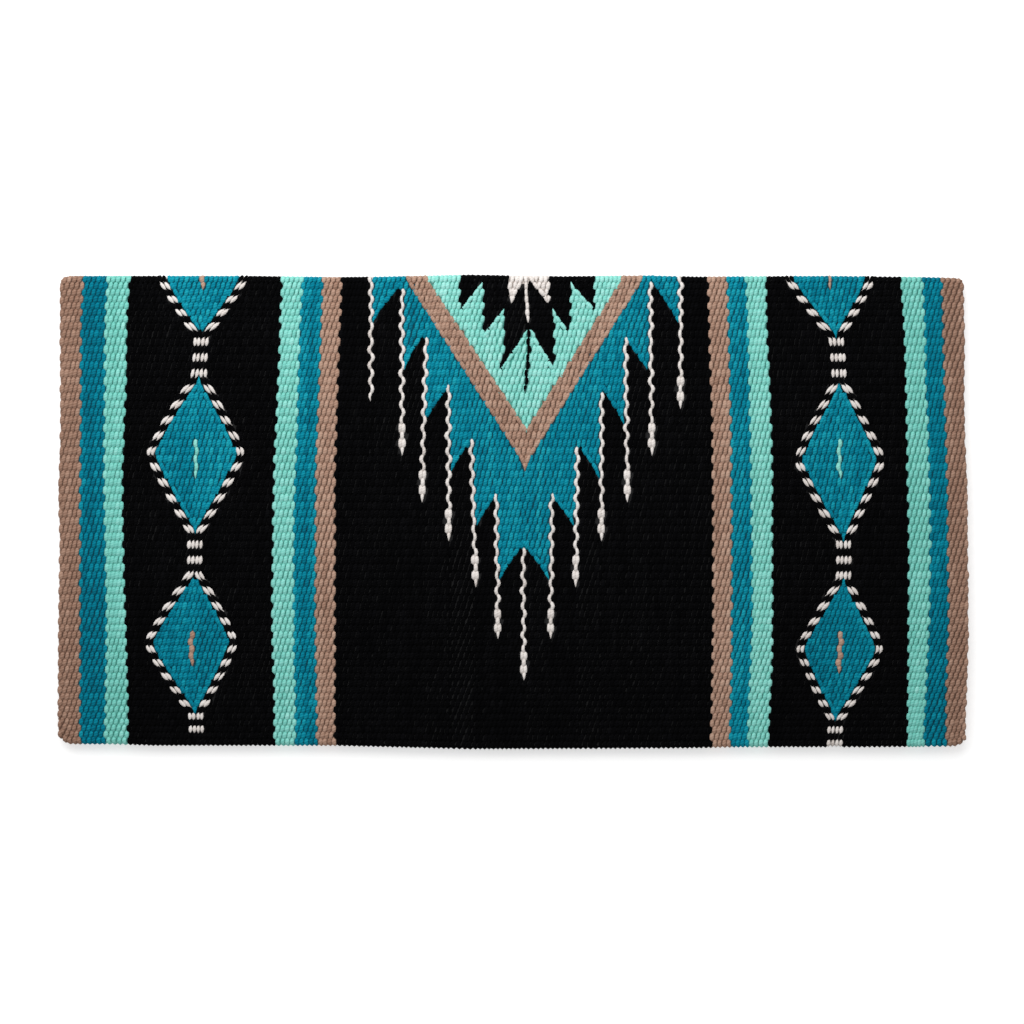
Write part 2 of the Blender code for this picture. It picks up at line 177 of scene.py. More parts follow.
@dataclass(frozen=True)
class Slant:
    """A slanted lower edge of an area, from a notch down to a tip.

    Attributes:
        area: name of the solid that it edges, without its half.
        wool: the area's wool.
        notch_mm: place across and depth of its upper end.
        tip_mm: place across and depth of its lower end.
        lining: area and wool of the yarn along it where that lies outside, or None for its own inside it.
        upright_mm: where the area's upright edge starts, or None where it is straight above the tip.
    """

    area: str
    wool: Wool
    notch_mm: tuple[float, float]
    tip_mm: tuple[float, float]
    lining: tuple[str, Wool] | None = None
    upright_mm: float | None = None

    @property
    def inward(self) -> int:
        """+1 where its area lies to its right, and -1 to its left."""
        return 1 if self.tip_mm[0] > self.notch_mm[0] else -1

    @property
    def edging(self) -> tuple[str, Wool]:
        """Area and wool of the yarn along it."""
        return self.lining or (self.area, self.wool)

    @property
    def slope(self) -> float:
        """Distance across for each unit of depth."""
        return (self.tip_mm[0] - self.notch_mm[0]) / (self.tip_mm[1] - self.notch_mm[1])

    def aside(self, half_width: float) -> float:
        """How far beside it the middle of the yarn along it lies."""
        side = -self.inward if self.lining else self.inward
        return side * half_width * math.sqrt(1 + self.slope**2)

    def across(self, depth: np.ndarray) -> np.ndarray:
        """Where the edge lies at each depth, in metres."""
        return self.notch_mm[0] * MM + self.slope * (depth - self.notch_mm[1] * MM)

    def covers(self, across: np.ndarray, depth: np.ndarray, half_width: float) -> np.ndarray:
        """Which places the area fills.

        Args:
            across: places across.
            depth: their depths.
            half_width: half the width of the yarn along the edge.

        Returns:
            Whether each place is in the area.
        """
        (notch_x, notch_y), (tip_x, tip_y) = self.notch_mm, self.tip_mm
        start = tip_x if self.upright_mm is None else self.upright_mm
        upright = np.interp(depth / MM, (notch_y, tip_y), (start, tip_x)) * MM
        return self.covers_between(across, depth, half_width, upright, notch_x * MM)

    def covers_between(
        self,
        across: np.ndarray,
        depth: np.ndarray,
        half_width: float,
        one_side: np.ndarray | float,
        other_side: np.ndarray | float,
    ) -> np.ndarray:
        """Which places the area fills between two sides.

        Args:
            across: places across.
            depth: their depths.
            half_width: half the width of the yarn along the edge.
            one_side: a side of the area at each depth.
            other_side: the opposite side.

        Returns:
            Whether each place is in the area.
        """
        low, high = np.minimum(one_side, other_side), np.maximum(one_side, other_side)
        beside = (across - self.across(depth) - self.aside(half_width)) * self.inward > 0
        inside = beside | (depth < self.notch_mm[1] * MM)
        return inside & (across > low) & (across < high) & (depth < self.tip_mm[1] * MM)


@dataclass(frozen=True)
class Tooth:
    """One tooth of the teal chevron: its slanted lower edge and the white line at its outer side.

    Attributes:
        line: name of the guide that the white line follows.
        line_top_mm: depth at which the white line starts.
        line_bottom_mm: depth at which it ends.
        tip_mm: place across and depth of the tooth's tip.
        notch_mm: place across and depth of the notch above it.
        swells: whether the white line thickens before it ends.
    """

    line: str
    line_top_mm: float
    line_bottom_mm: float
    tip_mm: tuple[float, float]
    notch_mm: tuple[float, float]
    swells: bool = True

    @property
    def slant(self) -> Slant:
        """Its slanted edge."""
        return Slant("teal_chevron", Wool.TEAL, self.notch_mm, self.tip_mm)

    @property
    def next_line(self) -> str:
        """Name of the guide at the inner side of the tooth."""
        side, _, number = self.line.split("_")
        return "centre_line" if number == "6" else f"{side}_line_{int(number) + 1}"


# Lines that the picks follow because hand-beaten wefts drift sideways, left to right: the sides of the
# stripes, the axes of the diamonds and the white lines of the chevron. Each point is a depth below the fold
# and the place across there.
GUIDES_MM = {
    "left_side": ((6.6, -429.3), (150, -428.8), (205, -430.9), (250, -429.4), (345, -430.9), (430, -431.1)),
    "left_edge_tan_stripe": ((10, -407.6), (42, -409.9), (230, -410.7), (430, -410.8)),
    "left_edge_teal_stripe": ((10, -385.2), (42, -387.3), (200, -388), (340, -385.4), (430, -387.6)),
    "left_edge_mint_stripe": (
        *((10, -363.8), (42, -366.5), (100, -366.9), (185, -370.6), (275, -369.5), (400, -365.3)),
    ),
    "left_axis": (
        *((4.7, -294.3), (71.1, -296.3), (137.5, -300.5), (270.3, -301.7), (353.8, -305.4), (431.5, -300.1)),
    ),
    "left_band_ground": ((10, -219.5), (71, -221.5), (185, -226.8), (330, -229), (400, -226.6)),
    "left_inner_mint_stripe": (
        *((10, -199.5), (42, -201.8), (140, -204.6), (230, -208), (360, -207.8), (400, -206.4)),
    ),
    "left_inner_teal_stripe": ((10, -180.5), (71, -182.8), (185, -187.2), (320, -187.8), (430, -186.2)),
    "left_inner_tan_stripe": ((10, -162.3), (100, -166), (185, -168.6), (430, -168.9)),
    "left_line_1": ((1.9, -134.6), (120.4, -134.6)),
    "left_line_2": ((11.4, -105.2), (166.0, -105.2)),
    "left_line_3": ((56.0, -82.4), (209.6, -86.2)),
    "left_line_4": ((104.3, -61.0), (252.3, -61.0)),
    "left_line_5": ((156.5, -39.7), (293.1, -35.2)),
    "left_line_6": ((206.8, -16.0), (339.5, -14.1)),
    "centre_line": (
        *((5, 12.3), (22, 13), (55, 15.2), (70, 14.8), (98, 12.7), (113, 11.7), (182.1, 11.4)),
        *((256, 9.8), (379, 10.4)),
    ),
    "right_line_6": ((207.7, 37.0), (339.5, 35.8)),
    "right_line_5": ((163.7, 61.4), (295.6, 59.5)),
    "right_line_4": ((109.1, 84.0), (252.3, 84.0)),
    "right_line_3": ((61.6, 106.7), (209.6, 108.7)),
    "right_line_2": ((5.3, 130.3), (169.8, 131.9)),
    "right_line_1": ((1.9, 159.1), (123.3, 159.1)),
    "centre_ground": ((10, 185.1), (71, 186.6), (140, 189.1), (320, 189.9), (435, 187.9)),
    "right_inner_tan_stripe": ((10, 203.4), (140, 206.8), (230, 207.8), (360, 207.7), (435, 205.9)),
    "right_inner_teal_stripe": ((10, 221), (42, 223), (230, 226.5), (320, 227.4), (435, 222.8)),
    "right_inner_mint_stripe": (
        *((10, 240.2), (60, 241.2), (100, 243.8), (185, 246.4), (360, 246.3), (435, 243)),
    ),
    "right_axis": (
        *((6.6, 300.7), (73.0, 308.3), (103.4, 310.1), (175.5, 309.8), (270.3, 314.3), (357.5, 310.2)),
        (436.3, 305.3),
    ),
    "right_band_ground": ((10, 368.1), (42, 370.5), (71, 372.1), (140, 373.6), (275, 375.5), (435, 374.6)),
    "right_edge_mint_stripe": (
        *((10, 389.2), (42, 390.8), (100, 391.6), (150, 394.3), (250, 396.4), (330, 395.3), (435, 389.6)),
    ),
    "right_edge_teal_stripe": (
        *((10, 406.9), (100, 409.2), (200, 412), (330, 413.3), (400, 410.9), (435, 411)),
    ),
    "right_edge_tan_stripe": (
        *((10, 427.1), (60, 428.6), (108, 427.7), (155, 428.6), (203, 431), (345, 432), (435, 429)),
    ),
}

# How much deeper each area's colour is than the usual dye. The outer stripes are the deepest, as painted
# shade for light that falls off towards the sides; the diamonds are darker towards the hem and on the right;
# the other areas are deeper or paler dye lots.
DYE_LOTS_AND_PAINTED_SHADE = {
    **{"left_edge_tan_stripe": 0.9, "left_edge_teal_stripe": 0.6, "left_edge_mint_stripe": 0.7},
    **{"left_inner_mint_stripe": 0.2, "right_inner_tan_stripe": 0.1, "right_inner_mint_stripe": 0.2},
    **{"right_edge_mint_stripe": 0.8, "right_edge_teal_stripe": 0.45, "right_edge_tan_stripe": 0.9},
    **{"tan_chevron": 0.1, "mint_chevron": -0.3, "left_fold_diamond": -0.2, "left_middle_diamond": -0.1},
    **{"left_hem_diamond": 0.2, "right_middle_diamond": 0.1, "right_hem_diamond": 0.4},
}

DIAMONDS = {
    "left": (
        Diamond("left_fold_diamond", -56.0, 0.0, 57.0, 36.8),
        Diamond("left_middle_diamond", 98.0, 169.5, 243.5, 39.6),
        Diamond("left_hem_diamond", 284.5, 348.5, 415.0, 37.2),
    ),
    "right": (
        Diamond("right_fold_diamond", -56.0, 0.0, 57.5, 36.4),
        Diamond("right_middle_diamond", 102.5, 175.0, 250.0, 35.8),
        Diamond("right_hem_diamond", 290.8, 355.0, 421.5, 34.4),
    ),
}
TICKS = {
    "left": (
        Tick(Wool.TAN, -12.0, 11.4, 1.3),
        Tick(Wool.MINT, 152.7, 190.6, 0.9),
        Tick(Wool.TAN, 335.7, 371.8, 1.2),
    ),
    "right": (
        Tick(Wool.TAN, -12.0, 12.3, 0.8),
        Tick(Wool.MINT, 155.5, 195.4, 0.9),
        Tick(Wool.TAN, 338.6, 376.5, 1.2),
    ),
}

# Depth at which the white and black outline yarns end.
OUTLINE_END_MM = {"left": 438.0, "right": 450.0}

TEETH = (
    Tooth("left_line_1", -9.0, 120.4, (-132.7, 43.3), (-108.2, 12.3), swells=False),
    Tooth("left_line_2", 11.4, 166.0, (-102.6, 86.3), (-84.6, 56.7)),
    Tooth("left_line_3", 56.0, 209.6, (-81.0, 134.7), (-63.0, 109.1)),
    Tooth("left_line_4", 104.3, 252.3, (-59.4, 187.3), (-41.8, 160.3)),
    Tooth("left_line_5", 156.5, 293.1, (-34.9, 239.0), (-18.8, 213.2)),
    Tooth("left_line_6", 206.8, 339.5, (-12.6, 288.3), (8.0, 258.9)),
    Tooth("right_line_6", 207.7, 339.5, (34.2, 288.3), (12.1, 258.9)),
    Tooth("right_line_5", 163.7, 295.6, (58.6, 239.0), (39.4, 213.2)),
    Tooth("right_line_4", 109.1, 252.3, (82.0, 192.5), (63.8, 164.7)),
    Tooth("right_line_3", 61.6, 209.6, (105.2, 140.1), (86.4, 111.3)),
    Tooth("right_line_2", 5.3, 169.8, (129.0, 92.8), (109.2, 64.0)),
    Tooth("right_line_1", -9.0, 123.3, (156.8, 44.4), (132.8, 7.4)),
)

# Slanted lower edges of the shapes inside the teal chevron, from a notch down to a tip.
TAN_EDGE = ("tan_chevron", Wool.TAN)
MINT_EDGE = ("mint_chevron", Wool.MINT)
CHEVRON_SLANTS = (
    Slant(*TAN_EDGE, (-104.8, 0.0), (11.5, 182.1)),
    Slant(*TAN_EDGE, (126.4, 0.0), (11.5, 182.1)),
    Slant(*MINT_EDGE, (-83.0, 0.0), (13.1, 145.1), lining=TAN_EDGE),
    Slant(*MINT_EDGE, (105.2, 0.0), (13.1, 145.1), lining=TAN_EDGE),
)
FLAME = ("black_flame", Wool.BLACK)
FLAME_SLANTS = (
    Slant(*FLAME, (-28.6, 4.3), (-49.6, 31.0), lining=MINT_EDGE),
    Slant(*FLAME, (-7.9, 29.5), (-28.6, 56.5), lining=MINT_EDGE),
    Slant(*FLAME, (11.6, 54.6), (-10.9, 86.0), lining=MINT_EDGE, upright_mm=-7.9),
    Slant(*FLAME, (19.2, 54.6), (38.5, 86.0), lining=MINT_EDGE),
    Slant(*FLAME, (38.5, 33.1), (55.5, 55.0), lining=MINT_EDGE),
    Slant(*FLAME, (55.5, 7.4), (76.4, 30.0), lining=MINT_EDGE),
)
HEART = ("white_heart", Wool.WHITE)
HEART_SLANTS = (
    Slant(*HEART, (-3.8, 18.0), (-1.4, 27.3)),
    Slant(*HEART, (10.0, 6.0), (-1.4, 27.3)),
    Slant(*HEART, (15.8, 6.0), (34.8, 28.9)),
)
# Left, right and lower side of the flame's middle and of the heart's top.
FLAME_MIDDLE_MM = (11.0, 19.6, 54.6)
HEART_TOP_MM = (-3.8, 34.8, 6.5)
# Depths at which the lines along the centre start and end.
HEART_SPIKE_MM = (-12.0, 42.3)
FLAME_SPIKE_MM = (50.0, 112.9)
CENTRE_LINE_MM = (256.5, 379.9)


def linear(hex_colour: str) -> tuple[float, float, float, float]:
    """Turns an sRGB hex colour into the linear colour that shaders take.

    Args:
        hex_colour: six hex digits, such as "B0907D".

    Returns:
        Red, green, blue and an alpha of 1.
    """
    parts = (int(hex_colour[i : i + 2], 16) / 255 for i in (0, 2, 4))
    rgb = [p / 12.92 if p <= 0.04045 else ((p + 0.055) / 1.055) ** 2.4 for p in parts]
    return (*rgb, 1.0)


def add_node(tree: bpy.types.NodeTree, kind: str, links: dict | None = None, **settings) -> bpy.types.Node:
    """Adds a shader node, with its settings and its links.

    Args:
        tree: the node tree that gets it.
        kind: the node's type, without the ShaderNode that starts its full name.
        links: what feeds each input, by the input's name or number: an output socket, or a plain value.
        settings: properties of the node, by name.

    Returns:
        The new node.
    """
    node = tree.nodes.new("ShaderNode" + kind)
    for name, value in settings.items():
        setattr(node, name, value)
    for name, value in (links or {}).items():
        if isinstance(value, bpy.types.NodeSocket):
            tree.links.new(value, node.inputs[name])
        else:
            node.inputs[name].default_value = value
    return node


def empty_tree(
    owner: bpy.types.Material | bpy.types.World, output: str
) -> tuple[bpy.types.NodeTree, bpy.types.NodeSocket]:
    """Gives a material or a world a node tree with nothing but an output.

    Args:
        owner: the material or world.
        output: the output node's type.

    Returns:
        The node tree, and the input of its output node.
    """
    owner.use_nodes = True
    owner.node_tree.nodes.clear()
    return owner.node_tree, add_node(owner.node_tree, output).inputs["Surface"]


def mixed(
    tree: bpy.types.NodeTree, share: float, a: bpy.types.NodeSocket, b: bpy.types.NodeSocket
) -> bpy.types.NodeSocket:
    """A number that a share takes from one output towards another."""
    return add_node(tree, "Mix", {0: share, 2: a, 3: b}, data_type="FLOAT").outputs[0]


def ramp(
    tree: bpy.types.NodeTree, value: bpy.types.NodeSocket, stops: dict[float, str]
) -> bpy.types.NodeSocket:
    """Turns a number into a colour.

    Args:
        tree: the node tree that gets the ramp.
        value: the number's output.
        stops: hex colours by their place on the ramp, in order.

    Returns:
        The colour's output.
    """
    node = add_node(tree, "ValToRGB", {"Fac": value})
    elements = node.color_ramp.elements
    first, *between, last = stops
    elements[0].position, elements[1].position = first, last
    for place in between:
        elements.new(place)
    for element, colour in zip(elements, stops.values()):
        element.color = linear(colour)
    return node.outputs["Color"]


def seen_directly(tree: bpy.types.NodeTree) -> bpy.types.NodeSocket:
    """Tells rays through which the camera sees a surface from those that light other things.

    Args:
        tree: the node tree that asks.

    Returns:
        An output that is 1 for rays from the camera, off mirrors and through glass, and 0 for others.
    """
    path = add_node(tree, "LightPath")
    seen = path.outputs["Is Camera Ray"]
    for other in ("Is Glossy Ray", "Is Transmission Ray"):
        seen = add_node(tree, "Math", {0: seen, 1: path.outputs[other]}, operation="MAXIMUM").outputs[0]
    return seen


@dataclass(frozen=True)
class WoolFinish:
    """Hand-spun, dyed and woven wool yarn. It is matt, its plies wind round each other, its dye is uneven.

    Attributes:
        name: the material's name.
        deep: colour where the dye took most, and painted shade between the plies.
        base: colour of most of the yarn.
        pale: colour where the dye took least, of the outermost fibres, and painted highlight on the plies.
        sheen: how strongly the fuzz catches light.
        gloss: how much the fibres mirror.
        dye_patch_mm: size of the wide patches of uneven dye.
        patch_share: how much the patches count beside a bead's own tone.
        fibre_share: how much the fibres' streaks count.
        ply_share: how much the grooves between the plies count, as painted shade in them and painted
            highlight on the plies.
        places: places of the three colours on the ramp.
    """

    name: str
    deep: str
    base: str
    pale: str
    sheen: float = 0.10
    gloss: float = 0.10
    ply_length_mm: float = 2.1
    ply_turns: float = 2.0
    ply_wander: float = 0.6
    fibre_length_mm: float = 2.4
    fibre_width_mm: float = 0.35
    dye_patch_mm: float = 38.0
    patch_share: float = 0.30
    fibre_share: float = 0.28
    ply_share: float = 0.20
    places: tuple[float, float, float] = (0.22, 0.50, 0.80)
    roughness: tuple[float, float] = (0.84, 1.0)
    bump_mm: float = 0.22
    bump_strength: float = 0.6
    bump_fibre_share: float = 0.45

    def build(self) -> bpy.types.Material:
        """Builds the yarn's material.

        Returns:
            The material, which reads the yarn's own length and girth from its map, and its dye with the
            painted shade of the outer stripes from "tone".
        """
        material = bpy.data.materials.new(self.name)
        tree, surface = empty_tree(material, "OutputMaterial")
        yarn = add_node(tree, "UVMap", uv_map=YARN_MAP).outputs["UV"]
        # Two plies, whose grooves run slantwise round the yarn and give each bead its leaning highlight:
        # partly real relief in the bump, and partly painted shade in the grooves and painted highlight on
        # the plies in the colour.
        ply_scale = (1 / self.ply_length_mm, self.ply_turns, 1.0)
        ply_place = add_node(tree, "Mapping", {"Vector": yarn, "Scale": ply_scale}).outputs[0]
        wave = {"Vector": ply_place, "Scale": math.tau / 10, "Distortion": self.ply_wander, "Detail": 1.0}
        bands = {"wave_type": "BANDS", "bands_direction": "DIAGONAL", "wave_profile": "SIN"}
        plies = add_node(tree, "TexWave", wave, **bands).outputs["Fac"]
        # Fibres: streaks much longer than they are wide, drawn wider than real wool so that they show.
        fibre_scale = (1 / self.fibre_length_mm, YARN_GIRTH_MM / self.fibre_width_mm, 1.0)
        fibre_place = add_node(tree, "Mapping", {"Vector": yarn, "Scale": fibre_scale}).outputs[0]
        streaks = {"Vector": fibre_place, "Scale": 1.0, "Detail": 2.0, "Roughness": 0.6}
        fibres = add_node(tree, "TexNoise", streaks).outputs["Fac"]
        # Uneven dye: wide soft patches over the whole cloth, and a tone of its own for each bead, which also
        # holds the painted shade of the outer stripes.
        place = add_node(tree, "TexCoord").outputs["Object"]
        patch_scale = 1 / (self.dye_patch_mm * MM)
        patches = add_node(tree, "TexNoise", {"Vector": place, "Scale": patch_scale, "Detail": 2.0})
        tone = add_node(tree, "Attribute", attribute_name=DYE_ATTRIBUTE).outputs["Fac"]
        tone_share = add_node(tree, "MapRange", {"Value": tone, "From Min": -1.0, "From Max": 1.0})
        dye = mixed(tree, self.patch_share, tone_share.outputs[0], patches.outputs["Fac"])
        dye = mixed(tree, self.fibre_share, dye, fibres)
        # The plies' bands paint shade into the grooves and highlight onto the plies.
        dye = mixed(tree, self.ply_share, dye, plies)
        colour = ramp(tree, dye, dict(zip(self.places, (self.deep, self.base, self.pale))))
        height = mixed(tree, self.bump_fibre_share, plies, fibres)
        relief = {"Height": height, "Strength": self.bump_strength, "Distance": self.bump_mm * MM}
        low, high = self.roughness
        matt = add_node(tree, "MapRange", {"Value": fibres, "To Min": low, "To Max": high}).outputs[0]
        values = {
            "Base Color": colour,
            "Roughness": matt,
            "Normal": add_node(tree, "Bump", relief).outputs["Normal"],
            "Specular IOR Level": self.gloss,
            "Sheen Weight": self.sheen,
            "Sheen Roughness": 0.5,
            "Sheen Tint": linear(self.pale),
        }
        tree.links.new(add_node(tree, "BsdfPrincipled", values).outputs[0], surface)
        return material


@dataclass(frozen=True)
class PackedWoolFinish:
    """Wool beaten tight round the warps inside the cloth. Its colour is darker than the yarn's, as painted
    shade for the little light that gets in.
    """

    name: str
    deep: str
    base: str
    clump_mm: float = 3.0
    bump_mm: float = 0.5
    bump_strength: float = 0.7
    roughness: float = 0.95

    def build(self) -> bpy.types.Material:
        """Builds the material.

        Returns:
            The material.
        """
        material = bpy.data.materials.new(self.name)
        tree, surface = empty_tree(material, "OutputMaterial")
        # Clumps of felted fibre, uneven in colour and in height.
        place = add_node(tree, "TexCoord").outputs["Object"]
        scale = 1 / (self.clump_mm * MM)
        clumps = add_node(tree, "TexNoise", {"Vector": place, "Scale": scale, "Detail": 3.0}).outputs["Fac"]
        colour = ramp(tree, clumps, {0.0: self.deep, 1.0: self.base})
        relief = {"Height": clumps, "Strength": self.bump_strength, "Distance": self.bump_mm * MM}
        normal = add_node(tree, "Bump", relief).outputs["Normal"]
        values = {"Base Color": colour, "Roughness": self.roughness, "Normal": normal}
        tree.links.new(add_node(tree, "BsdfPrincipled", values).outputs[0], surface)
        return material


FINISHES = {
    Wool.TAN: WoolFinish("tan_dyed_wool_yarn", "8E6D5C", "B3917E", "C7A996"),
    Wool.TEAL: WoolFinish("teal_dyed_wool_yarn", "005D73", "00859D", "24AEBC"),
    Wool.MINT: WoolFinish("mint_dyed_wool_yarn", "70C5B8", "8BDBCF", "ACEAE1"),
    Wool.BLACK: WoolFinish("black_dyed_wool_yarn", "030304", "060607", "0E0E10", 0.0, 0.02),
    Wool.WHITE: WoolFinish("natural_white_wool_yarn", "C9BFB8", "E8E1DC", "F4EFEB"),
}

# The warp is never dyed, and its plies are twisted harder than the weft's.
COTTON = WoolFinish("undyed_twisted_cotton_cord", "B5A88F", "CFC4AF", "DDD4C2", ply_length_mm=1.6)

# From the darkest wool to the palest one. Each is darker than its yarn, as painted shade where the sheet
# shows between the beads.
PACKED_FINISHES = {
    Wool.BLACK: PackedWoolFinish("packed_black_wool", "070708", "111113"),
    Wool.TEAL: PackedWoolFinish("packed_teal_wool", "004456", "005D70"),
    Wool.TAN: PackedWoolFinish("packed_tan_wool", "6E5548", "8A6C5C"),
    Wool.MINT: PackedWoolFinish("packed_mint_wool", "4FA598", "66B8AB"),
    Wool.WHITE: PackedWoolFinish("packed_white_wool", "B5ACA5", "C9C0BA"),
}


@dataclass
class Yarn:
    """The weft yarn: how it lies over and under the warps, and how its section changes on the way.

    It shows as a bead where it lies on a face, and has a crossing where it passes through the cloth.

    Attributes:
        rise: how far its middle goes above and below the middle of the layer.
        lean: how far a bead's ends lie to the side of its middle.
        fullness: how flat the top of a bead is.
        twine_rise: how much longer a twined yarn's beads are, as a share of the rise.
        twine_pinch: how much narrower a twined yarn's beads are at their ends.
        twine_reach: how far along its line a twined bead's ends reach, in warps.
        sides: faces round the yarn.
    """

    bead_half_width: float = 2.30 * MM
    crossing_half_width: float = 1.50 * MM
    bead_half_thickness: float = 1.25 * MM
    crossing_half_thickness: float = 2.3 * MM
    rise: float = 2.25 * MM
    lean: float = 0.5 * MM
    fullness: float = 0.75
    twine_rise: float = 0.50
    twine_pinch: float = 0.60
    twine_reach: float = 0.24
    sides: int = 6

    def height(self, swing: np.ndarray) -> np.ndarray:
        """How high the middle of the yarn lies, from a cosine that is 1 over a warp and -1 under one."""
        return self.rise * ((1 + self.fullness) * swing - self.fullness * swing**3)

    def half_width(self, swing: np.ndarray) -> np.ndarray:
        """Half the yarn's width, which is least at a crossing."""
        share = np.sqrt(np.abs(swing))
        return self.crossing_half_width + (self.bead_half_width - self.crossing_half_width) * share

    def half_thickness(self, swing: np.ndarray) -> np.ndarray:
        """Half the yarn's height, which is greatest at a crossing."""
        less = self.crossing_half_thickness - self.bead_half_thickness
        return self.crossing_half_thickness - less * np.sqrt(np.abs(swing))


@dataclass
class Cloth:
    """The middle surface of the folded cloth and the places of its warps.

    Attributes:
        width: side to side, along the warps.
        hem_y: outside of the hems.
        crease_y: where the flat layers end and the turn of the fold begins.
        upper_z: middle of the upper layer.
        lower_z: middle of the lower layer.
        half_layer: half the thickness of a layer.
        ring_places: where the rings of a yarn lie between a warp and the next, in warps.
        hem_room: what is left between the outermost yarn and the outside of a hem.
    """

    width: float
    hem_y: float
    crease_y: float
    upper_z: float
    lower_z: float
    half_layer: float
    warps_per_half: int = 63
    fold_warps: int = 2
    ring_places: tuple[float, ...] = (-0.5, -0.28, 0.0, 0.28)
    hem_room: float = 0.05 * MM

    @classmethod
    def from_frame(cls) -> Cloth:
        """Reads the cloth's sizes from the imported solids.

        Returns:
            The cloth.
        """
        low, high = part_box("upper_centre_ground")
        floor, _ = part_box("lower_centre_ground")
        left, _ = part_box("lower_left_edge_tan_stripe")
        _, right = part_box("lower_right_edge_tan_stripe")
        half_layer = (high.z - low.z) / 2
        middle_z = (low.z + high.z) / 2
        return cls(right.x - left.x, low.y, high.y, middle_z, floor.z + half_layer, half_layer)

    @property
    def warps(self) -> int:
        """All warps, from hem to hem."""
        return 2 * self.warps_per_half + self.fold_warps

    @property
    def crease(self) -> float:
        """Place of the crease where the upper half ends, in warps."""
        return self.warps_per_half - 0.5

    @property
    def turn_radius(self) -> float:
        """Radius of the middle surface in the turn of the fold."""
        return (self.upper_z - self.lower_z) / 2

    @property
    def fold_y(self) -> float:
        """Outside of the fold."""
        return self.crease_y + self.turn_radius + self.half_layer

    @property
    def first_warp_y(self) -> float:
        """Where the warp nearest the hem lies."""
        return self.hem_y + self.half_layer + self.hem_room

    @property
    def warp_pitch(self) -> float:
        """Distance between neighbouring warps of a flat layer."""
        return (self.crease_y - self.first_warp_y) / self.crease

    @property
    def flat_length(self) -> float:
        """Length of the opened cloth, from hem to hem along its middle."""
        return 2 * (self.crease_y - self.hem_y) + math.pi * self.turn_radius

    @property
    def steps(self) -> int:
        """Rings to each warp."""
        return len(self.ring_places)

    def place(self, ring: np.ndarray) -> np.ndarray:
        """A ring's place, counted in warps, where ring 0 is the end of the cloth."""
        return ring // self.steps + np.array(self.ring_places)[ring % self.steps]

    def counts(self) -> np.ndarray:
        """Every ring's place, with one ring to spare at each end."""
        return self.place(np.arange(-1, self.steps * self.warps + 2))

    def middle(self, count: np.ndarray) -> tuple[np.ndarray, np.ndarray, np.ndarray]:
        """Where the middle surface runs.

        Args:
            count: places along the cloth, counted in warps.

        Returns:
            Y, Z and the angle of the outward normal above the horizontal, which is +90 degrees on the upper
            half and -90 degrees on the lower one.
        """
        turned = np.clip((count - self.crease) / self.fold_warps, 0, 1)
        angle = math.pi * (0.5 - turned)
        flat = np.minimum(np.clip(count, 0, None), np.clip(self.warps - 1 - count, 0, None))
        even_y = self.first_warp_y + self.warp_pitch * np.minimum(flat, self.crease)
        even, beaten = np.array(BEAT_MM).T * MM
        flat_y = self.fold_y - np.interp(self.fold_y - even_y, even, beaten)
        in_turn = (turned > 0) & (turned < 1)
        y = np.where(in_turn, self.crease_y + self.turn_radius * np.cos(angle), flat_y)
        z = (self.upper_z + self.lower_z) / 2 + self.turn_radius * np.sin(angle)
        return y, z, angle

    def depth(self, count: np.ndarray) -> np.ndarray:
        """Distance from the outside of the fold, as seen from above."""
        return self.fold_y - self.middle(count)[0]

    def drawn_in(self, points: np.ndarray) -> np.ndarray:
        """Moves points at the hems and at the fold, as hand weaving leaves them.

        Args:
            points: places in the flat rectangle.

        Returns:
            The same points with an uneven outline and rounded corners.
        """
        x, y = points[:, 0], points[:, 1]
        from_side = np.clip(self.width / 2 - np.abs(x), 0, None)
        corners = []
        for radius in (HEM_CORNER_RADIUS, FOLD_CORNER_RADIUS):
            inside = np.clip(radius - from_side, 0, radius)
            corners.append(radius - np.sqrt(radius**2 - inside**2))
        rise, drop = (np.interp(x, *(np.array(line).T * MM)) for line in (HEM_RISE_MM, FOLD_DROP_MM))
        near_hem = np.clip(1 - (y - self.hem_y) / HEM_REACH, 0, 1) ** 2
        near_fold = np.clip(1 - (self.fold_y - y) / HEM_REACH, 0, 1) ** 2
        # The fold's unevenness stays in its turn, so that the halves meet when the blanket is opened.
        in_turn = np.clip((y - self.crease_y) / (self.fold_y - self.crease_y), 0, 1)
        moved = points.copy()
        moved[:, 1] += (rise + corners[0]) * near_hem - corners[1] * near_fold - drop * in_turn
        return moved


@dataclass(frozen=True)
class Lie:
    """How a yarn lies beside those that run straight.

    Attributes:
        lift: how far it lies above its neighbours on both faces.
        wave: how far it swings to the right over even warps and to the left over odd ones.
        width: share of the usual width.
        lean: share of the usual lean.
        twine: 1 where it is twined with its neighbour, and 0 elsewhere.
    """

    lift: float = 0.0
    wave: float = 0.0
    width: float = 1.0
    lean: float = 0.0
    twine: float = 0.0


LEAN_COLUMN = [f.name for f in fields(Lie)].index("lean")


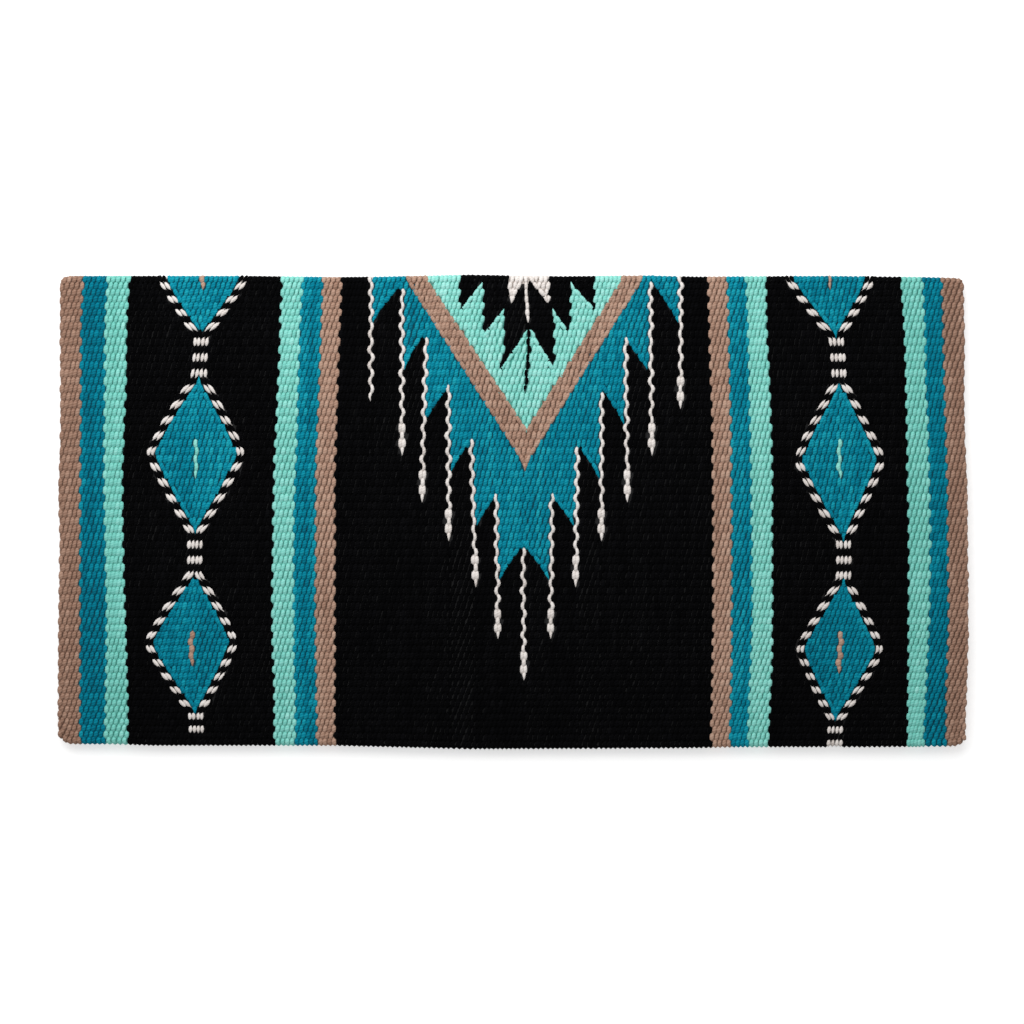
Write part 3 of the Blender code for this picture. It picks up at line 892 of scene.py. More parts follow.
@dataclass
class YarnRows:
    """All yarns of the weft, one row each.

    Attributes:
        across: place across of each yarn at every ring of the cloth, with a ring to spare at each end.
        order: a number for each yarn that says which of its crossings are on the outer face.
        partner: +1 or -1 for the neighbour that the yarn turns into at the hems, or 0 for none.
        lies: the values of each yarn's lie, in the order of the fields.
    """

    across: np.ndarray
    order: np.ndarray
    partner: np.ndarray
    lies: np.ndarray

    def add(self, across: np.ndarray, order: list[int], lie: Lie) -> int:
        """Adds yarns that leave the straight line.

        Args:
            across: their places across at every ring.
            order: which of their crossings are on the outer face.
            lie: how they lie.

        Returns:
            The first one's row.
        """
        first, count = len(self.order), len(order)
        extra = (across, np.array(order), np.zeros(count), np.tile(astuple(lie), (count, 1)))
        for item, values in zip(fields(self), extra):
            setattr(self, item.name, np.concatenate([getattr(self, item.name), values]))
        return first


@dataclass
class Run:
    """A stretch of one yarn that belongs to one piece.

    Attributes:
        row: which yarn.
        first: the first warp that it crosses.
        last: the last warp that it crosses.
        wool: its wool.
        points: whether its first bead and its last one are pointed.
        shade: how much deeper its area's colour is, which at the outer stripes is painted shade.
    """

    row: int
    first: int
    last: int
    wool: Wool
    points: tuple[bool, bool] = (False, False)
    shade: float = 0.0


@dataclass
class Draft:
    """The weaver's plan: which yarn crosses which warp in which wool, and which piece it belongs to.

    Attributes:
        cloth: the cloth that it is drawn for.
        pick_pitch: distance between neighbouring picks where nothing presses them aside.
        smoothing_mm: over what distance a guide's corners are rounded.
        swell_warps: warps over which a white line thickens.
        swell_spread: places of the three picks of a swelling, in picks.
        outline_places: how many picks from a diamond's side its two outlines lie.
        outline_room: what an outline takes on each side, in picks.
        slant_clear_share: what the yarn along a slanted edge takes on each side, in picks.
        own_clear_share: share of a room that is kept free of picks of the same area.
        tip_taper: over what depth the two yarns of a tip come together.
        tuck: least half width of a diamond's straight picks.
    """

    cloth: Cloth
    pick_pitch: float = 2.25 * MM
    yarn_half_width: float = 2.25 * MM
    smoothing_mm: float = 16.0
    lean_share_at_edges: float = 0.35
    line_lie: Lie = Lie(lift=0.45 * MM, wave=1.35 * MM, width=0.8)
    flame_spike_lie: Lie = Lie(lift=0.9 * MM, wave=0.6075 * MM, width=0.85)
    heart_spike_wave: float = 0.2025 * MM
    tick_wave: float = 0.81 * MM
    swell_lie: Lie = Lie(lift=0.45 * MM, width=0.92)
    swell_warps: int = 4
    swell_room: float = 2.5 * MM
    swell_spread: tuple[float, float, float] = (-0.72, 0.05, 0.62)
    swell_clear: tuple[float, float] = (1.6, 0.6)
    outline_lie: Lie = Lie(lift=0.40 * MM, width=0.9, lean=0.25, twine=1.0)
    outline_places: tuple[float, float] = (0.85, 2.5)
    outline_room: float = 0.8
    diamond_edge_from: float = 1.0 * MM
    slant_lie: Lie = Lie(lift=0.35 * MM)
    slant_clear_share: float = 0.72
    own_clear_share: float = 0.4
    tip_taper: float = 9.0 * MM
    lining_taper: float = 5.0 * MM
    tip_aside_share: float = 0.25
    tuck: float = 1.1 * MM
    least_step: float = 0.5 * MM
    pieces: dict[tuple[Half, str], list[Run]] = field(default_factory=dict)

    def __post_init__(self) -> None:
        """Lays out the straight picks, then the outlines and slanted edges over them."""
        self.warp_depth = self.cloth.depth(np.arange(self.cloth.warps).astype(float))
        self.ring_depth = self.cloth.depth(self.cloth.counts())
        self._lay_straight_picks()
        self._draw_areas()
        self.ground = self.cell.copy()
        self._lay_slants()
        self._lay_outlines()
        self._lay_lines()
        self._collect_straight_runs()

    def _line(self, name: str) -> np.ndarray:
        """A guide's places at the rings, with its corners rounded.

        Args:
            name: the guide's name.

        Returns:
            Its places across, averaged over a short stretch of cloth.
        """
        depths, places = np.array(GUIDES_MM[name]).T
        line = np.interp(self.ring_depth / MM, depths, places) * MM
        reach = int(self.smoothing_mm * MM / self.cloth.warp_pitch * self.cloth.steps)
        weights = np.hanning(2 * reach + 3)[1:-1]
        return np.convolve(np.pad(line, reach, mode="edge"), weights / weights.sum(), mode="valid")

    def _ease(self, line: np.ndarray) -> np.ndarray:
        """Rounds a line's corners over about one warp."""
        weights = np.array([1, 2, 3, 2, 1]) / 9
        return np.convolve(np.pad(line, 2, mode="edge"), weights, mode="valid")

    def _lay_straight_picks(self) -> None:
        """Shares out picks between neighbouring guides and lets each follow them."""
        names = list(GUIDES_MM)
        self.first_pick, rows = {names[0]: 0}, []
        for left, right in zip(names, names[1:]):
            a, b = self._line(left), self._line(right)
            count = round(float((b - a).mean()) / self.pick_pitch)
            shares = (np.arange(count) + 0.5) / count
            rows.append(a[None] + shares[:, None] * (b - a)[None])
            self.first_pick[right] = self.first_pick[left] + count
        self.straight = self.first_pick[names[-1]]
        order = np.arange(self.straight)
        lies = np.tile(astuple(Lie(lean=1.0)), (self.straight, 1))
        for first in self.first_pick.values():
            lies[max(first - 1, 0) : first + 1, LEAN_COLUMN] = self.lean_share_at_edges
        self.rows = YarnRows(np.concatenate(rows), order, np.where(order % 2 == 0, 1, -1), lies)
        LOG.info("%d picks, %d warps", self.straight, self.cloth.warps)

    def _at_warps(self, across: np.ndarray) -> np.ndarray:
        """The places of yarns at the middles of their crossings."""
        step = self.cloth.steps
        return across[..., 1 + step // 2 : 1 + step * self.cloth.warps : step]

    def _draw_areas(self) -> None:
        """Gives each crossing of a straight pick the number of its area, which has a name and a wool."""
        self.areas: list[tuple[str, Wool]] = []
        across, depth = self._at_warps(self.rows.across), self.warp_depth[None]
        self.cell = np.full((self.straight, self.cloth.warps), -1)
        names = list(GUIDES_MM)
        for left, right in zip(names, names[1:]):
            self._paint(slice(self.first_pick[left], self.first_pick[right]), *self._column(right))
        for tooth in TEETH:
            sides = [self._at_warps(self._line(name))[None] for name in (tooth.line, tooth.next_line)]
            inside = tooth.slant.covers_between(across, depth, self.yarn_half_width, *sides)
            self._paint(inside, "teal_chevron", Wool.TEAL)
        shapes = ((CHEVRON_SLANTS, ()), (FLAME_SLANTS, FLAME_MIDDLE_MM), (HEART_SLANTS, HEART_TOP_MM))
        for slants, middle_mm in shapes:
            for slant in slants:
                inside = slant.covers(across, depth, self.yarn_half_width)
                self._paint(inside, slant.area, slant.wool)
            if middle_mm:
                left, right, bottom = (edge * MM for edge in middle_mm)
                inside = (across > left) & (across < right) & (depth < bottom)
                self._paint(inside, slants[0].area, slants[0].wool)
        for side, diamonds in DIAMONDS.items():
            axis = self._at_warps(self._line(side + "_axis"))[None]
            for diamond in diamonds:
                reach = diamond.half_width(depth)
                straight = np.maximum(reach - self.pick_pitch / 2, self.tuck)
                inside = (np.abs(across - axis) < straight) & (reach > self.tuck / 2)
                self._paint(inside, diamond.area, Wool.TEAL)

    def _column(self, right_guide: str) -> tuple[str, Wool]:
        """The area and wool of a column of picks.

        Args:
            right_guide: the guide at the column's right side.

        Returns:
            The area's name and its wool.
        """
        name = "centre_ground" if "_line" in right_guide else right_guide.replace("_axis", "_band_ground")
        wools = [wool for wool in Wool if name.endswith(f"_{wool.name.lower()}_stripe")]
        return name, wools[0] if wools else Wool.BLACK

    def _paint(self, where: slice | np.ndarray, area: str, wool: Wool) -> None:
        """Sets the area of some crossings of straight picks.

        Args:
            where: which picks, or which of all crossings.
            area: the area's name.
            wool: its wool.
        """
        if (area, wool) not in self.areas:
            self.areas.append((area, wool))
        self.cell[where] = self.areas.index((area, wool))

    def _clear(self, middle: np.ndarray, half: float, warps: np.ndarray, own: str = "") -> None:
        """Takes out the crossings of straight picks that lie where other yarns go.

        Args:
            middle: middle of the stretch that the other yarns take, at every warp.
            half: half its width, in picks.
            warps: which warps it is for.
            own: area of the other yarns, whose straight picks may come nearer.
        """
        offset = np.abs(self._at_warps(self.rows.across[: self.straight]) - middle[None])
        own_codes = [i for i, (area, _) in enumerate(self.areas) if area == own]
        half *= self.pick_pitch
        reach = np.where(np.isin(self.cell, own_codes), half * self.own_clear_share, half)
        self.cell[(offset < reach) & warps[None]] = -1

    def _add_run(
        self,
        row: int,
        first: int,
        last: int,
        area: str,
        wool: Wool,
        points: tuple[bool, bool] = (False, False),
    ) -> None:
        """Files a run, and splits it where the cloth passes into the fold or the other half.

        Args:
            row: which yarn.
            first: the first warp that it crosses.
            last: the last one.
            area: the area that it belongs to.
            wool: its wool.
            points: whether its first bead and its last one are pointed.
        """
        turn = self.cloth.warps_per_half
        after = turn + self.cloth.fold_warps
        spans = ((0, turn, Half.UPPER), (turn, after, Half.FOLD), (after, self.cloth.warps, Half.LOWER))
        for low, high, half in spans:
            start, end = max(first, low), min(last, high - 1)
            if start <= end:
                pointed = (points[0] and start == first, points[1] and end == last)
                # An area's deepening, which at the outer stripes is painted shade.
                run = Run(row, start, end, wool, pointed, DYE_LOTS_AND_PAINTED_SHADE.get(area, 0.0))
                self.pieces.setdefault((half, area), []).append(run)

    def _blocks(self, warps: np.ndarray) -> list[np.ndarray]:
        """Splits a set of warps into stretches without gaps."""
        found = np.flatnonzero(warps)
        return [b for b in np.split(found, np.flatnonzero(np.diff(found) > 1) + 1) if len(b)]

    def _lay_pair(
        self,
        line: np.ndarray,
        warps: np.ndarray,
        area: str,
        wools: tuple[Wool, Wool],
        lie: Lie,
        points: tuple[bool, bool] = (False, False),
    ) -> None:
        """Lays two yarns that take turns to be in front along one line.

        Args:
            line: places across at every ring.
            warps: which warps they cross.
            area: the area that they belong to.
            wools: wool of the yarn over the even warps, and of the one over the odd warps.
            lie: how they lie.
            points: whether their deeper end is pointed, and their shallower one.
        """
        first = self.rows.add(np.stack([line, line]), [0, 1], lie)
        for block in self._blocks(warps):
            start, end = int(block[0]), int(block[-1])
            deep_start, deep_end = start < self.cloth.warps / 2, end > self.cloth.warps / 2
            pointed = (points[0] if deep_start else points[1], points[0] if deep_end else points[1])
            for i, wool in enumerate(wools):
                self._add_run(first + i, start, end, area, wool, pointed)

    def _lay_lines(self) -> None:
        """Lays the wavy white lines, the two spikes and the ticks in the diamonds."""
        white = ("white_lines", Wool.WHITE)
        self._lay_line("centre_line", FLAME_SPIKE_MM, *FLAME, self.flame_spike_lie, clears=False)
        heart_spike_lie = replace(self.line_lie, wave=self.heart_spike_wave)
        self._lay_line("centre_line", HEART_SPIKE_MM, *HEART, heart_spike_lie)
        self._lay_line("centre_line", CENTRE_LINE_MM, *white, self.line_lie, swells=True)
        for tooth in TEETH:
            reach_mm = (tooth.line_top_mm, tooth.line_bottom_mm)
            self._lay_line(tooth.line, reach_mm, *white, self.line_lie, swells=tooth.swells)
        for side, ticks in TICKS.items():
            for tick in ticks:
                reach_mm, area = (tick.top_mm, tick.bottom_mm), side + "_diamond_ticks"
                lie = replace(self.line_lie, wave=self.tick_wave, width=tick.width_share)
                self._lay_line(side + "_axis", reach_mm, area, tick.wool, lie)

    def _lay_line(
        self,
        guide: str,
        reach_mm: tuple[float, float],
        area: str,
        wool: Wool,
        lie: Lie,
        swells: bool = False,
        clears: bool = True,
    ) -> None:
        """Lays one wavy line in place of the two picks beside a guide, or on top of them.

        Args:
            guide: name of the guide.
            reach_mm: depths at which the line starts and ends.
            area: the area that it belongs to.
            wool: its wool.
            lie: how it lies.
            swells: whether it thickens before it ends.
            clears: whether the picks beside the guide make way for it.
        """
        line, right_pick = self._line(guide), self.first_pick[guide]
        top, bottom = (r * MM for r in reach_mm)
        inside = (self.warp_depth > top) & (self.warp_depth < bottom + swells * self.swell_room)
        last = self.warp_depth[inside].max()
        thick = inside & (self.warp_depth > last - (self.swell_warps - 0.5) * self.cloth.warp_pitch)
        thin = inside & ~thick if swells else inside
        if clears:
            self.cell[right_pick - 1 : right_pick + 1, thin] = -1
        lie = replace(lie, wave=lie.wave * (-1) ** right_pick)
        self._lay_pair(line, thin, area, (wool, wool), lie, (not swells, False))
        if swells:
            for block in self._blocks(thick):
                self._lay_swelling(line, block, area, wool)

    def _lay_swelling(self, line: np.ndarray, block: np.ndarray, area: str, wool: Wool) -> None:
        """Lays three picks whose beads make two swellings and a point.

        Args:
            line: places across at every ring.
            block: the warps that they cross.
            area: the area that they belong to.
            wool: their wool.
        """
        deeper = self.warp_depth[block[-1]] > self.warp_depth[block[0]]
        tip = int(block[-1] if deeper else block[0])
        beside = block[block != tip]
        spread = np.array(self.swell_spread) * self.pick_pitch
        first = self.rows.add(line[None] + spread[:, None], [tip + 1, tip, tip + 1], self.swell_lie)
        for warps, half in zip((beside, tip), self.swell_clear):
            taken = np.zeros(self.cloth.warps, bool)
            taken[warps] = True
            self._clear(self._at_warps(line), half, taken)
        self._add_run(first, int(beside[0]), int(beside[-1]), area, wool)
        self._add_run(first + 1, int(block[0]), int(block[-1]), area, wool, (not deeper, deeper))
        self._add_run(first + 2, int(beside[0]), int(beside[-1]), area, wool)

    def _lay_outlines(self) -> None:
        """Lays the pairs of a white and a black yarn that outline the diamonds and link them."""
        near, far = self.outline_places
        for side, diamonds in DIAMONDS.items():
            axis = self._line(side + "_axis")
            reach = np.max([d.half_width(self.ring_depth) for d in diamonds], axis=0)
            reach = self._ease(np.maximum(reach, 0))
            step = np.maximum(np.abs(np.gradient(self.ring_depth)), self.least_step)
            steepness = np.clip(np.gradient(reach) / step, -1, 1)
            spread = self.pick_pitch * self._ease(np.sqrt(1 + steepness**2))
            everywhere = self.warp_depth < OUTLINE_END_MM[side] * MM
            for direction in (-1, 1):
                middle = self._at_warps(axis + direction * (reach + (near + far) / 2 * spread))
                self._clear(middle, (far - near) / 2 + self.outline_room, everywhere)
                edge = axis + direction * np.maximum(reach - spread, 0)
                for diamond in diamonds:
                    inside = diamond.half_width(self.warp_depth) > self.diamond_edge_from
                    self._clear(self._at_warps(edge), self.slant_clear_share, inside, diamond.area)
                    teal = (Wool.TEAL, Wool.TEAL)
                    self._lay_pair(edge, inside, diamond.area, teal, self.slant_lie, (True, True))
                for place in self.outline_places:
                    line, area = axis + direction * (reach + place * spread), side + "_diamond_outline"
                    self._lay_pair(line, everywhere, area, (Wool.WHITE, Wool.BLACK), self.outline_lie)

    def _lay_slants(self) -> None:
        """Lays a pair of yarns along each slanted edge, which come together in a point at its tip."""
        teeth = [t.slant for t in TEETH]
        for slant in (*teeth, *CHEVRON_SLANTS, *FLAME_SLANTS, *HEART_SLANTS):
            notch, tip = slant.notch_mm[1] * MM, slant.tip_mm[1] * MM
            aside = slant.aside(self.yarn_half_width)
            edge = slant.across(self.ring_depth)
            inside = (self.warp_depth > notch - self.cloth.warp_pitch / 2) & (self.warp_depth < tip)
            area, wool = slant.edging
            if slant.lining:
                # A yarn outside the edge stops where it meets the upright edge of the next tooth.
                share = (self.ring_depth - notch) / self.lining_taper if notch > 0 else np.ones_like(edge)
                line = edge + aside * np.clip(share, self.tip_aside_share, 1)
                past = (self._at_warps(line) - slant.notch_mm[0] * MM) * slant.inward
                inside &= (past > 0) | (notch <= 0)
            else:
                # Past the tip the yarns would cross those of the opposite edge.
                share = (tip - self.ring_depth) / self.tip_taper
                line = edge + aside * np.clip(share, self.tip_aside_share, 1)
                past = (line - slant.tip_mm[0] * MM) * slant.inward
                line = line - slant.inward * np.maximum(past, 0)
            self._clear(self._at_warps(line), self.slant_clear_share, inside, area)
            points = (slant.lining is None, slant.lining is not None)
            self._lay_pair(line, inside, area, (wool, wool), self.slant_lie, points)

    def _collect_straight_runs(self) -> None:
        """Files each stretch of a straight pick that keeps its area."""
        for row, codes in enumerate(self.cell):
            starts = np.flatnonzero(np.diff(codes, prepend=-2))
            for start, end in zip(starts, [*starts[1:], len(codes)]):
                if codes[start] >= 0:
                    area, wool = self.areas[codes[start]]
                    pointed = area == "white_heart"
                    self._add_run(row, int(start), int(end) - 1, area, wool, (pointed, pointed))


@dataclass
class Tubes:
    """Closed tubes that make up one mesh.

    Attributes:
        rings: corners of every ring, one tube after another.
        lengths: rings in each tube.
        slots: material slot of each tube.
        dye: dye of each ring, with the painted shade of the outer stripes.
        map_shift_mm: how much further along its map each tube starts, so that no two yarns look alike.
        map_shift_range_mm: where that shift starts again.
        cap_reach: half the length and half the height of an end in the yarn map.
        end_cells: how much longer a tube's strip is than its rings, in cells of the bake map.
        cap_cells: half the side of an end in the bake map, in cells.
        cap_gap_cells: how far beyond the last ring the middle of an end lies there, in cells.
        cell_shrink: share that the cells keep each time that they don't fit.
    """

    rings: np.ndarray
    lengths: np.ndarray
    slots: np.ndarray
    dye: np.ndarray
    map_shift_mm: float = 17.3
    map_shift_range_mm: float = 50.0
    cap_reach: tuple[float, float] = (0.2, 0.1)
    end_cells: int = 3
    cap_cells: float = 0.6
    cap_gap_cells: float = 0.8
    cell_shrink: float = 0.985

    def __post_init__(self) -> None:
        """Numbers the rings."""
        self.sides = self.rings.shape[1]
        self.starts = np.concatenate([[0], np.cumsum(self.lengths)[:-1]])
        self.ends = self.starts + self.lengths - 1
        self.tube = np.repeat(np.arange(len(self.lengths)), self.lengths)
        # Every ring with another one of its tube after it.
        self.lower = np.setdiff1d(np.arange(len(self.rings)), self.ends)

    def mesh(self, name: str) -> bpy.types.Mesh:
        """Builds the mesh.

        Args:
            name: the mesh's name.

        Returns:
            The mesh, with its yarn map, its bake map and its dye.
        """
        sides, side = self.sides, np.arange(self.sides)
        after = (side + 1) % sides
        a = self.lower[:, None] * sides
        quads = np.stack([a + side, a + sides + side, a + sides + after, a + after], -1).reshape(-1, 4)
        first_caps = self.starts[:, None] * sides + side
        caps = np.concatenate([first_caps, self.ends[:, None] * sides + side[::-1]])
        loops = np.concatenate([quads.ravel(), caps.ravel()])
        totals = np.concatenate([np.full(len(quads), 4), np.full(len(caps), sides)])
        slots = np.concatenate([np.repeat(self.slots[self.tube[self.lower]], sides), self.slots, self.slots])
        mesh = bpy.data.meshes.new(name)
        mesh.vertices.add(len(self.rings) * sides)
        mesh.vertices.foreach_set("co", self.rings.astype(np.float32).ravel())
        mesh.loops.add(len(loops))
        mesh.loops.foreach_set("vertex_index", loops.astype(np.int32))
        mesh.polygons.add(len(totals))
        mesh.polygons.foreach_set("loop_start", (np.cumsum(totals) - totals).astype(np.int32))
        mesh.polygons.foreach_set("material_index", slots.astype(np.int32))
        mesh.polygons.foreach_set("use_smooth", totals == 4)
        mesh.update(calc_edges=True)
        self._map_yarn(mesh)
        self._map_for_baking(mesh)
        mesh.uv_layers[YARN_MAP].active_render = True
        dye = mesh.attributes.new(DYE_ATTRIBUTE, "FLOAT", "POINT")
        dye.data.foreach_set("value", np.repeat(self.dye, sides).astype(np.float32))
        return mesh

    def _map_yarn(self, mesh: bpy.types.Mesh) -> None:
        """Adds the map of each yarn's length and girth.

        Args:
            mesh: the mesh.
        """
        gaps = np.linalg.norm(np.diff(self.rings.mean(1), axis=0, prepend=0), axis=1)
        gaps[self.starts] = 0
        length = np.cumsum(gaps) / MM
        shift = (self.tube * self.map_shift_mm) % self.map_shift_range_mm
        u = length - length[self.starts][self.tube] + shift
        bottom = np.zeros(len(self.lower))
        caps = (u[self.starts], 0.5), (u[self.ends], 0.5)
        self._write_map(mesh, YARN_MAP, u, bottom, 1 / self.sides, caps, self.cap_reach)

    def _map_for_baking(self, mesh: bpy.types.Mesh) -> None:
        """Adds the map that lays every yarn out flat by itself.

        Each tube is a strip on a shelf, and is longer than its faces so that each of its ends has a cell.

        Args:
            mesh: the mesh.
        """
        cells, strip = self.lengths + self.end_cells, self.sides + 1
        cell = self._cell_size(cells, strip)
        shelf_x, shelf_y = np.zeros(len(cells)), np.zeros(len(cells))
        x = y = 0.0
        for i in np.argsort(-cells):
            if x + cells[i] * cell > 1:
                x, y = 0.0, y + strip * cell
            shelf_x[i], shelf_y[i] = x, y
            x += cells[i] * cell
        place = np.arange(len(self.tube)) - self.starts[self.tube] + self.end_cells / 2
        u = shelf_x[self.tube] + place * cell
        v = shelf_y[self.tube[self.lower]]
        gap, reach, cap_y = self.cap_gap_cells * cell, self.cap_cells * cell, shelf_y + cell
        caps = (u[self.starts] - gap, cap_y), (u[self.ends] + gap, cap_y)
        self._write_map(mesh, BAKE_MAP, u, v, cell, caps, (reach, reach))

    def _cell_size(self, cells: np.ndarray, strip: int) -> float:
        """The largest cell with which all strips fit into a square of side 1.

        Args:
            cells: length of each strip, in cells.
            strip: height of each strip, in cells.

        Returns:
            The cell's side.
        """
        size = min(1 / math.sqrt(cells.sum() * strip), 1 / cells.max())
        while True:
            x, shelves = 0.0, 1
            for n in -np.sort(-cells):
                if x + n * size > 1:
                    x, shelves = 0.0, shelves + 1
                x += n * size
            if shelves * strip * size <= 1:
                return size
            size *= self.cell_shrink

    def _write_map(
        self,
        mesh: bpy.types.Mesh,
        name: str,
        ring_u: np.ndarray,
        first_v: np.ndarray,
        step_v: float,
        caps: tuple[tuple[np.ndarray, np.ndarray | float], ...],
        cap_radius: tuple[float, float],
    ) -> None:
        """Writes one map, whose corners come in the order of the faces.

        Args:
            mesh: the mesh that gets it.
            name: its name.
            ring_u: U of each ring.
            first_v: V of the first side of each stretch of faces.
            step_v: V from one side to the next.
            caps: U and V of the middles of the tubes' first ends, and of their last ends.
            cap_radius: half the width and half the height of an end.
        """
        corner_rings = np.stack([self.lower, self.lower + 1, self.lower + 1, self.lower], -1)
        u = np.repeat(ring_u[corner_rings][:, None], self.sides, axis=1)
        corner_sides = np.arange(self.sides)[:, None] + np.array([0, 0, 1, 1])[None]
        v = first_v[:, None, None] + corner_sides[None] * step_v
        turn = math.tau * np.arange(self.sides) / self.sides
        parts = [np.stack([u.ravel(), v.ravel()], 1)]
        for middle_u, middle_v in caps:
            cap_u = middle_u[:, None] + cap_radius[0] * np.cos(turn)[None]
            cap_v = np.broadcast_to(middle_v, len(middle_u))[:, None] + cap_radius[1] * np.sin(turn)[None]
            parts.append(np.stack([cap_u.ravel(), cap_v.ravel()], 1))
        layer = mesh.uv_layers.new(name=name)
        layer.uv.foreach_set("vector", np.concatenate(parts).astype(np.float32).ravel())


@dataclass
class Weaver:
    """Turns runs of yarn into meshes.

    Attributes:
        cloth: the cloth that is woven.
        yarn: how its yarn lies.
        draft: the plan.
        wave_change: how much more a wavy line's beads differ than others do.
        tone_warps: warps over which a yarn's dye changes slowly.
        tone_of_yarn: how much the dye differs between yarns.
        tone_along: how much it differs along a yarn.
        tone_of_bead: how much it differs between a bead and the next.
    """

    cloth: Cloth
    yarn: Yarn
    draft: Draft
    seed: int = 7
    bead_sway: float = 0.20 * MM
    bead_swell_share: float = 0.08
    bead_sink_share: float = 0.08
    wave_change: float = 3.0
    tone_warps: int = 8
    tone_of_yarn: float = 0.16
    tone_along: float = 0.24
    tone_of_bead: float = 0.20

    def __post_init__(self) -> None:
        """Draws the small differences between one bead and the next."""
        rng = np.random.default_rng(self.seed)
        yarns, warps = shape = (len(self.draft.rows.order), self.cloth.warps)
        self.sway = rng.normal(0, self.bead_sway, shape)
        self.swell = rng.normal(0, self.bead_swell_share, shape)
        self.sink = rng.uniform(0, self.bead_sink_share, shape)
        slow = rng.normal(0, 1, (yarns, warps // self.tone_warps + 2))
        places = np.arange(warps) / self.tone_warps
        along = np.array([np.interp(places, np.arange(len(r)), r) for r in slow])
        self.tone = self.tone_of_yarn * rng.normal(0, 1, (yarns, 1)) + self.tone_along * along
        self.tone = self.tone + self.tone_of_bead * rng.normal(0, 1, shape)
        self.drift = np.gradient(self.draft.rows.across, axis=1) * self.cloth.steps

    def _centres(self, row: np.ndarray, ring: np.ndarray) -> tuple[np.ndarray, np.ndarray, np.ndarray]:
        """Middle points of some yarns at some rings.

        Args:
            row: which yarn each point is on.
            ring: which ring it is at, where ring 0 is the end of the cloth.

        Returns:
            The points, how far over (1) or under (-1) a warp each lies, and its share of the usual width.
        """
        rows, cloth, yarn = self.draft.rows, self.cloth, self.yarn
        lift, wave, width, lean_share, twine = rows.lies[row].T
        count = cloth.place(ring)
        y, z, angle = cloth.middle(count)
        order = rows.order[row]
        turned = np.cos(math.pi * (count + order))
        rise = yarn.twine_rise * twine
        swing = (turned + rise) / (1 + rise)
        near = np.abs(swing)
        kept = width * (1 - yarn.twine_pinch * twine * (1 - np.abs(turned)))
        reach = yarn.twine_reach * twine * self.drift[row, ring + 1]
        lean = (yarn.lean * lean_share + reach) * np.sin(math.pi * (count + order))
        warp = np.clip(np.floor(count + 0.5), 0, cloth.warps - 1).astype(int)
        x = rows.across[row, ring + 1] + self.sway[row, warp] * near
        x = x + wave * np.cos(math.pi * count) * (1 + self.wave_change * self.swell[row, warp])
        height = yarn.height(swing) * (1 - self.sink[row, warp] * near) + lift * swing
        # Past the outermost warp the yarn goes round it and turns into its neighbour.
        past = np.maximum(-count, count - (cloth.warps - 1))
        outside = past > 0
        round_warp = np.cos(math.pi * past)
        swing_at_end = np.cos(math.pi * (np.round(np.clip(count, 0, cloth.warps - 1)) + order))
        height = np.where(outside, yarn.rise * round_warp * swing_at_end, height)
        y = np.where(outside, y - yarn.rise * np.sin(math.pi * past), y)
        turn = rows.partner[row] * self.draft.pick_pitch / 2
        x = x + np.where(outside, lean * round_warp + (1 - round_warp) * turn, lean)
        points = np.stack([x, y + height * np.cos(angle), z + height * np.sin(angle)], 1)
        return cloth.drawn_in(points), swing, kept

    def mesh(self, name: str, runs: list[Run], wools: list[Wool]) -> bpy.types.Mesh:
        """Builds one mesh from runs of yarn.

        Args:
            name: the mesh's name.
            runs: the runs, each of which becomes a closed tube.
            wools: the wools in the order of the mesh's material slots.

        Returns:
            The mesh.
        """
        step, sides = self.cloth.steps, self.yarn.sides
        lengths = np.array([(r.last - r.first + 1) * step + 1 for r in runs])
        row = np.repeat([r.row for r in runs], lengths)
        ring = np.concatenate([np.arange(n) + r.first * step for n, r in zip(lengths, runs)])
        centre, swing, kept = self._centres(row, ring)
        tangent = self._centres(row, ring + 1)[0] - self._centres(row, ring - 1)[0]
        tangent /= np.linalg.norm(tangent, axis=1, keepdims=True)
        across = np.array([[1.0, 0.0, 0.0]]) - tangent[:, :1] * tangent
        across /= np.linalg.norm(across, axis=1, keepdims=True)
        outward = np.cross(across, tangent)
        # A run's last ring belongs to the warp before it.
        warp = np.clip(ring // step, 0, self.cloth.warps - 1)
        warp[np.cumsum(lengths) - 1] -= 1
        width = self.yarn.half_width(swing) * (1 + self.swell[row, warp] * np.abs(swing))
        width *= kept * self._taper(runs, lengths)
        turn = math.tau * (np.arange(sides) + 0.5) / sides
        height = self.yarn.half_thickness(swing)
        beside = width[:, None, None] * np.cos(turn)[None, :, None] * across[:, None]
        above = height[:, None, None] * np.sin(turn)[None, :, None] * outward[:, None]
        rings = centre[:, None] + (beside + above)
        # Each bead's random tone, deepened by its area: at the outer stripes by painted shade.
        dye = np.clip(self.tone[row, warp] - np.repeat([r.shade for r in runs], lengths), -1, 1)
        return Tubes(rings, lengths, np.array([wools.index(r.wool) for r in runs]), dye).mesh(name)

    def _taper(self, runs: list[Run], lengths: np.ndarray) -> np.ndarray:
        """Narrows the end beads of a run that ends in a point.

        Args:
            runs: the runs.
            lengths: rings in each run.

        Returns:
            A share of the width for each ring.
        """
        shares, reach = [], len(POINT_SHARES)
        for run, length in zip(runs, lengths):
            share = np.ones(length)
            if run.points[0]:
                share[:reach] = POINT_SHARES[::-1]
            if run.points[1]:
                share[-reach:] = POINT_SHARES
            shares.append(share)
        return np.concatenate(shares)


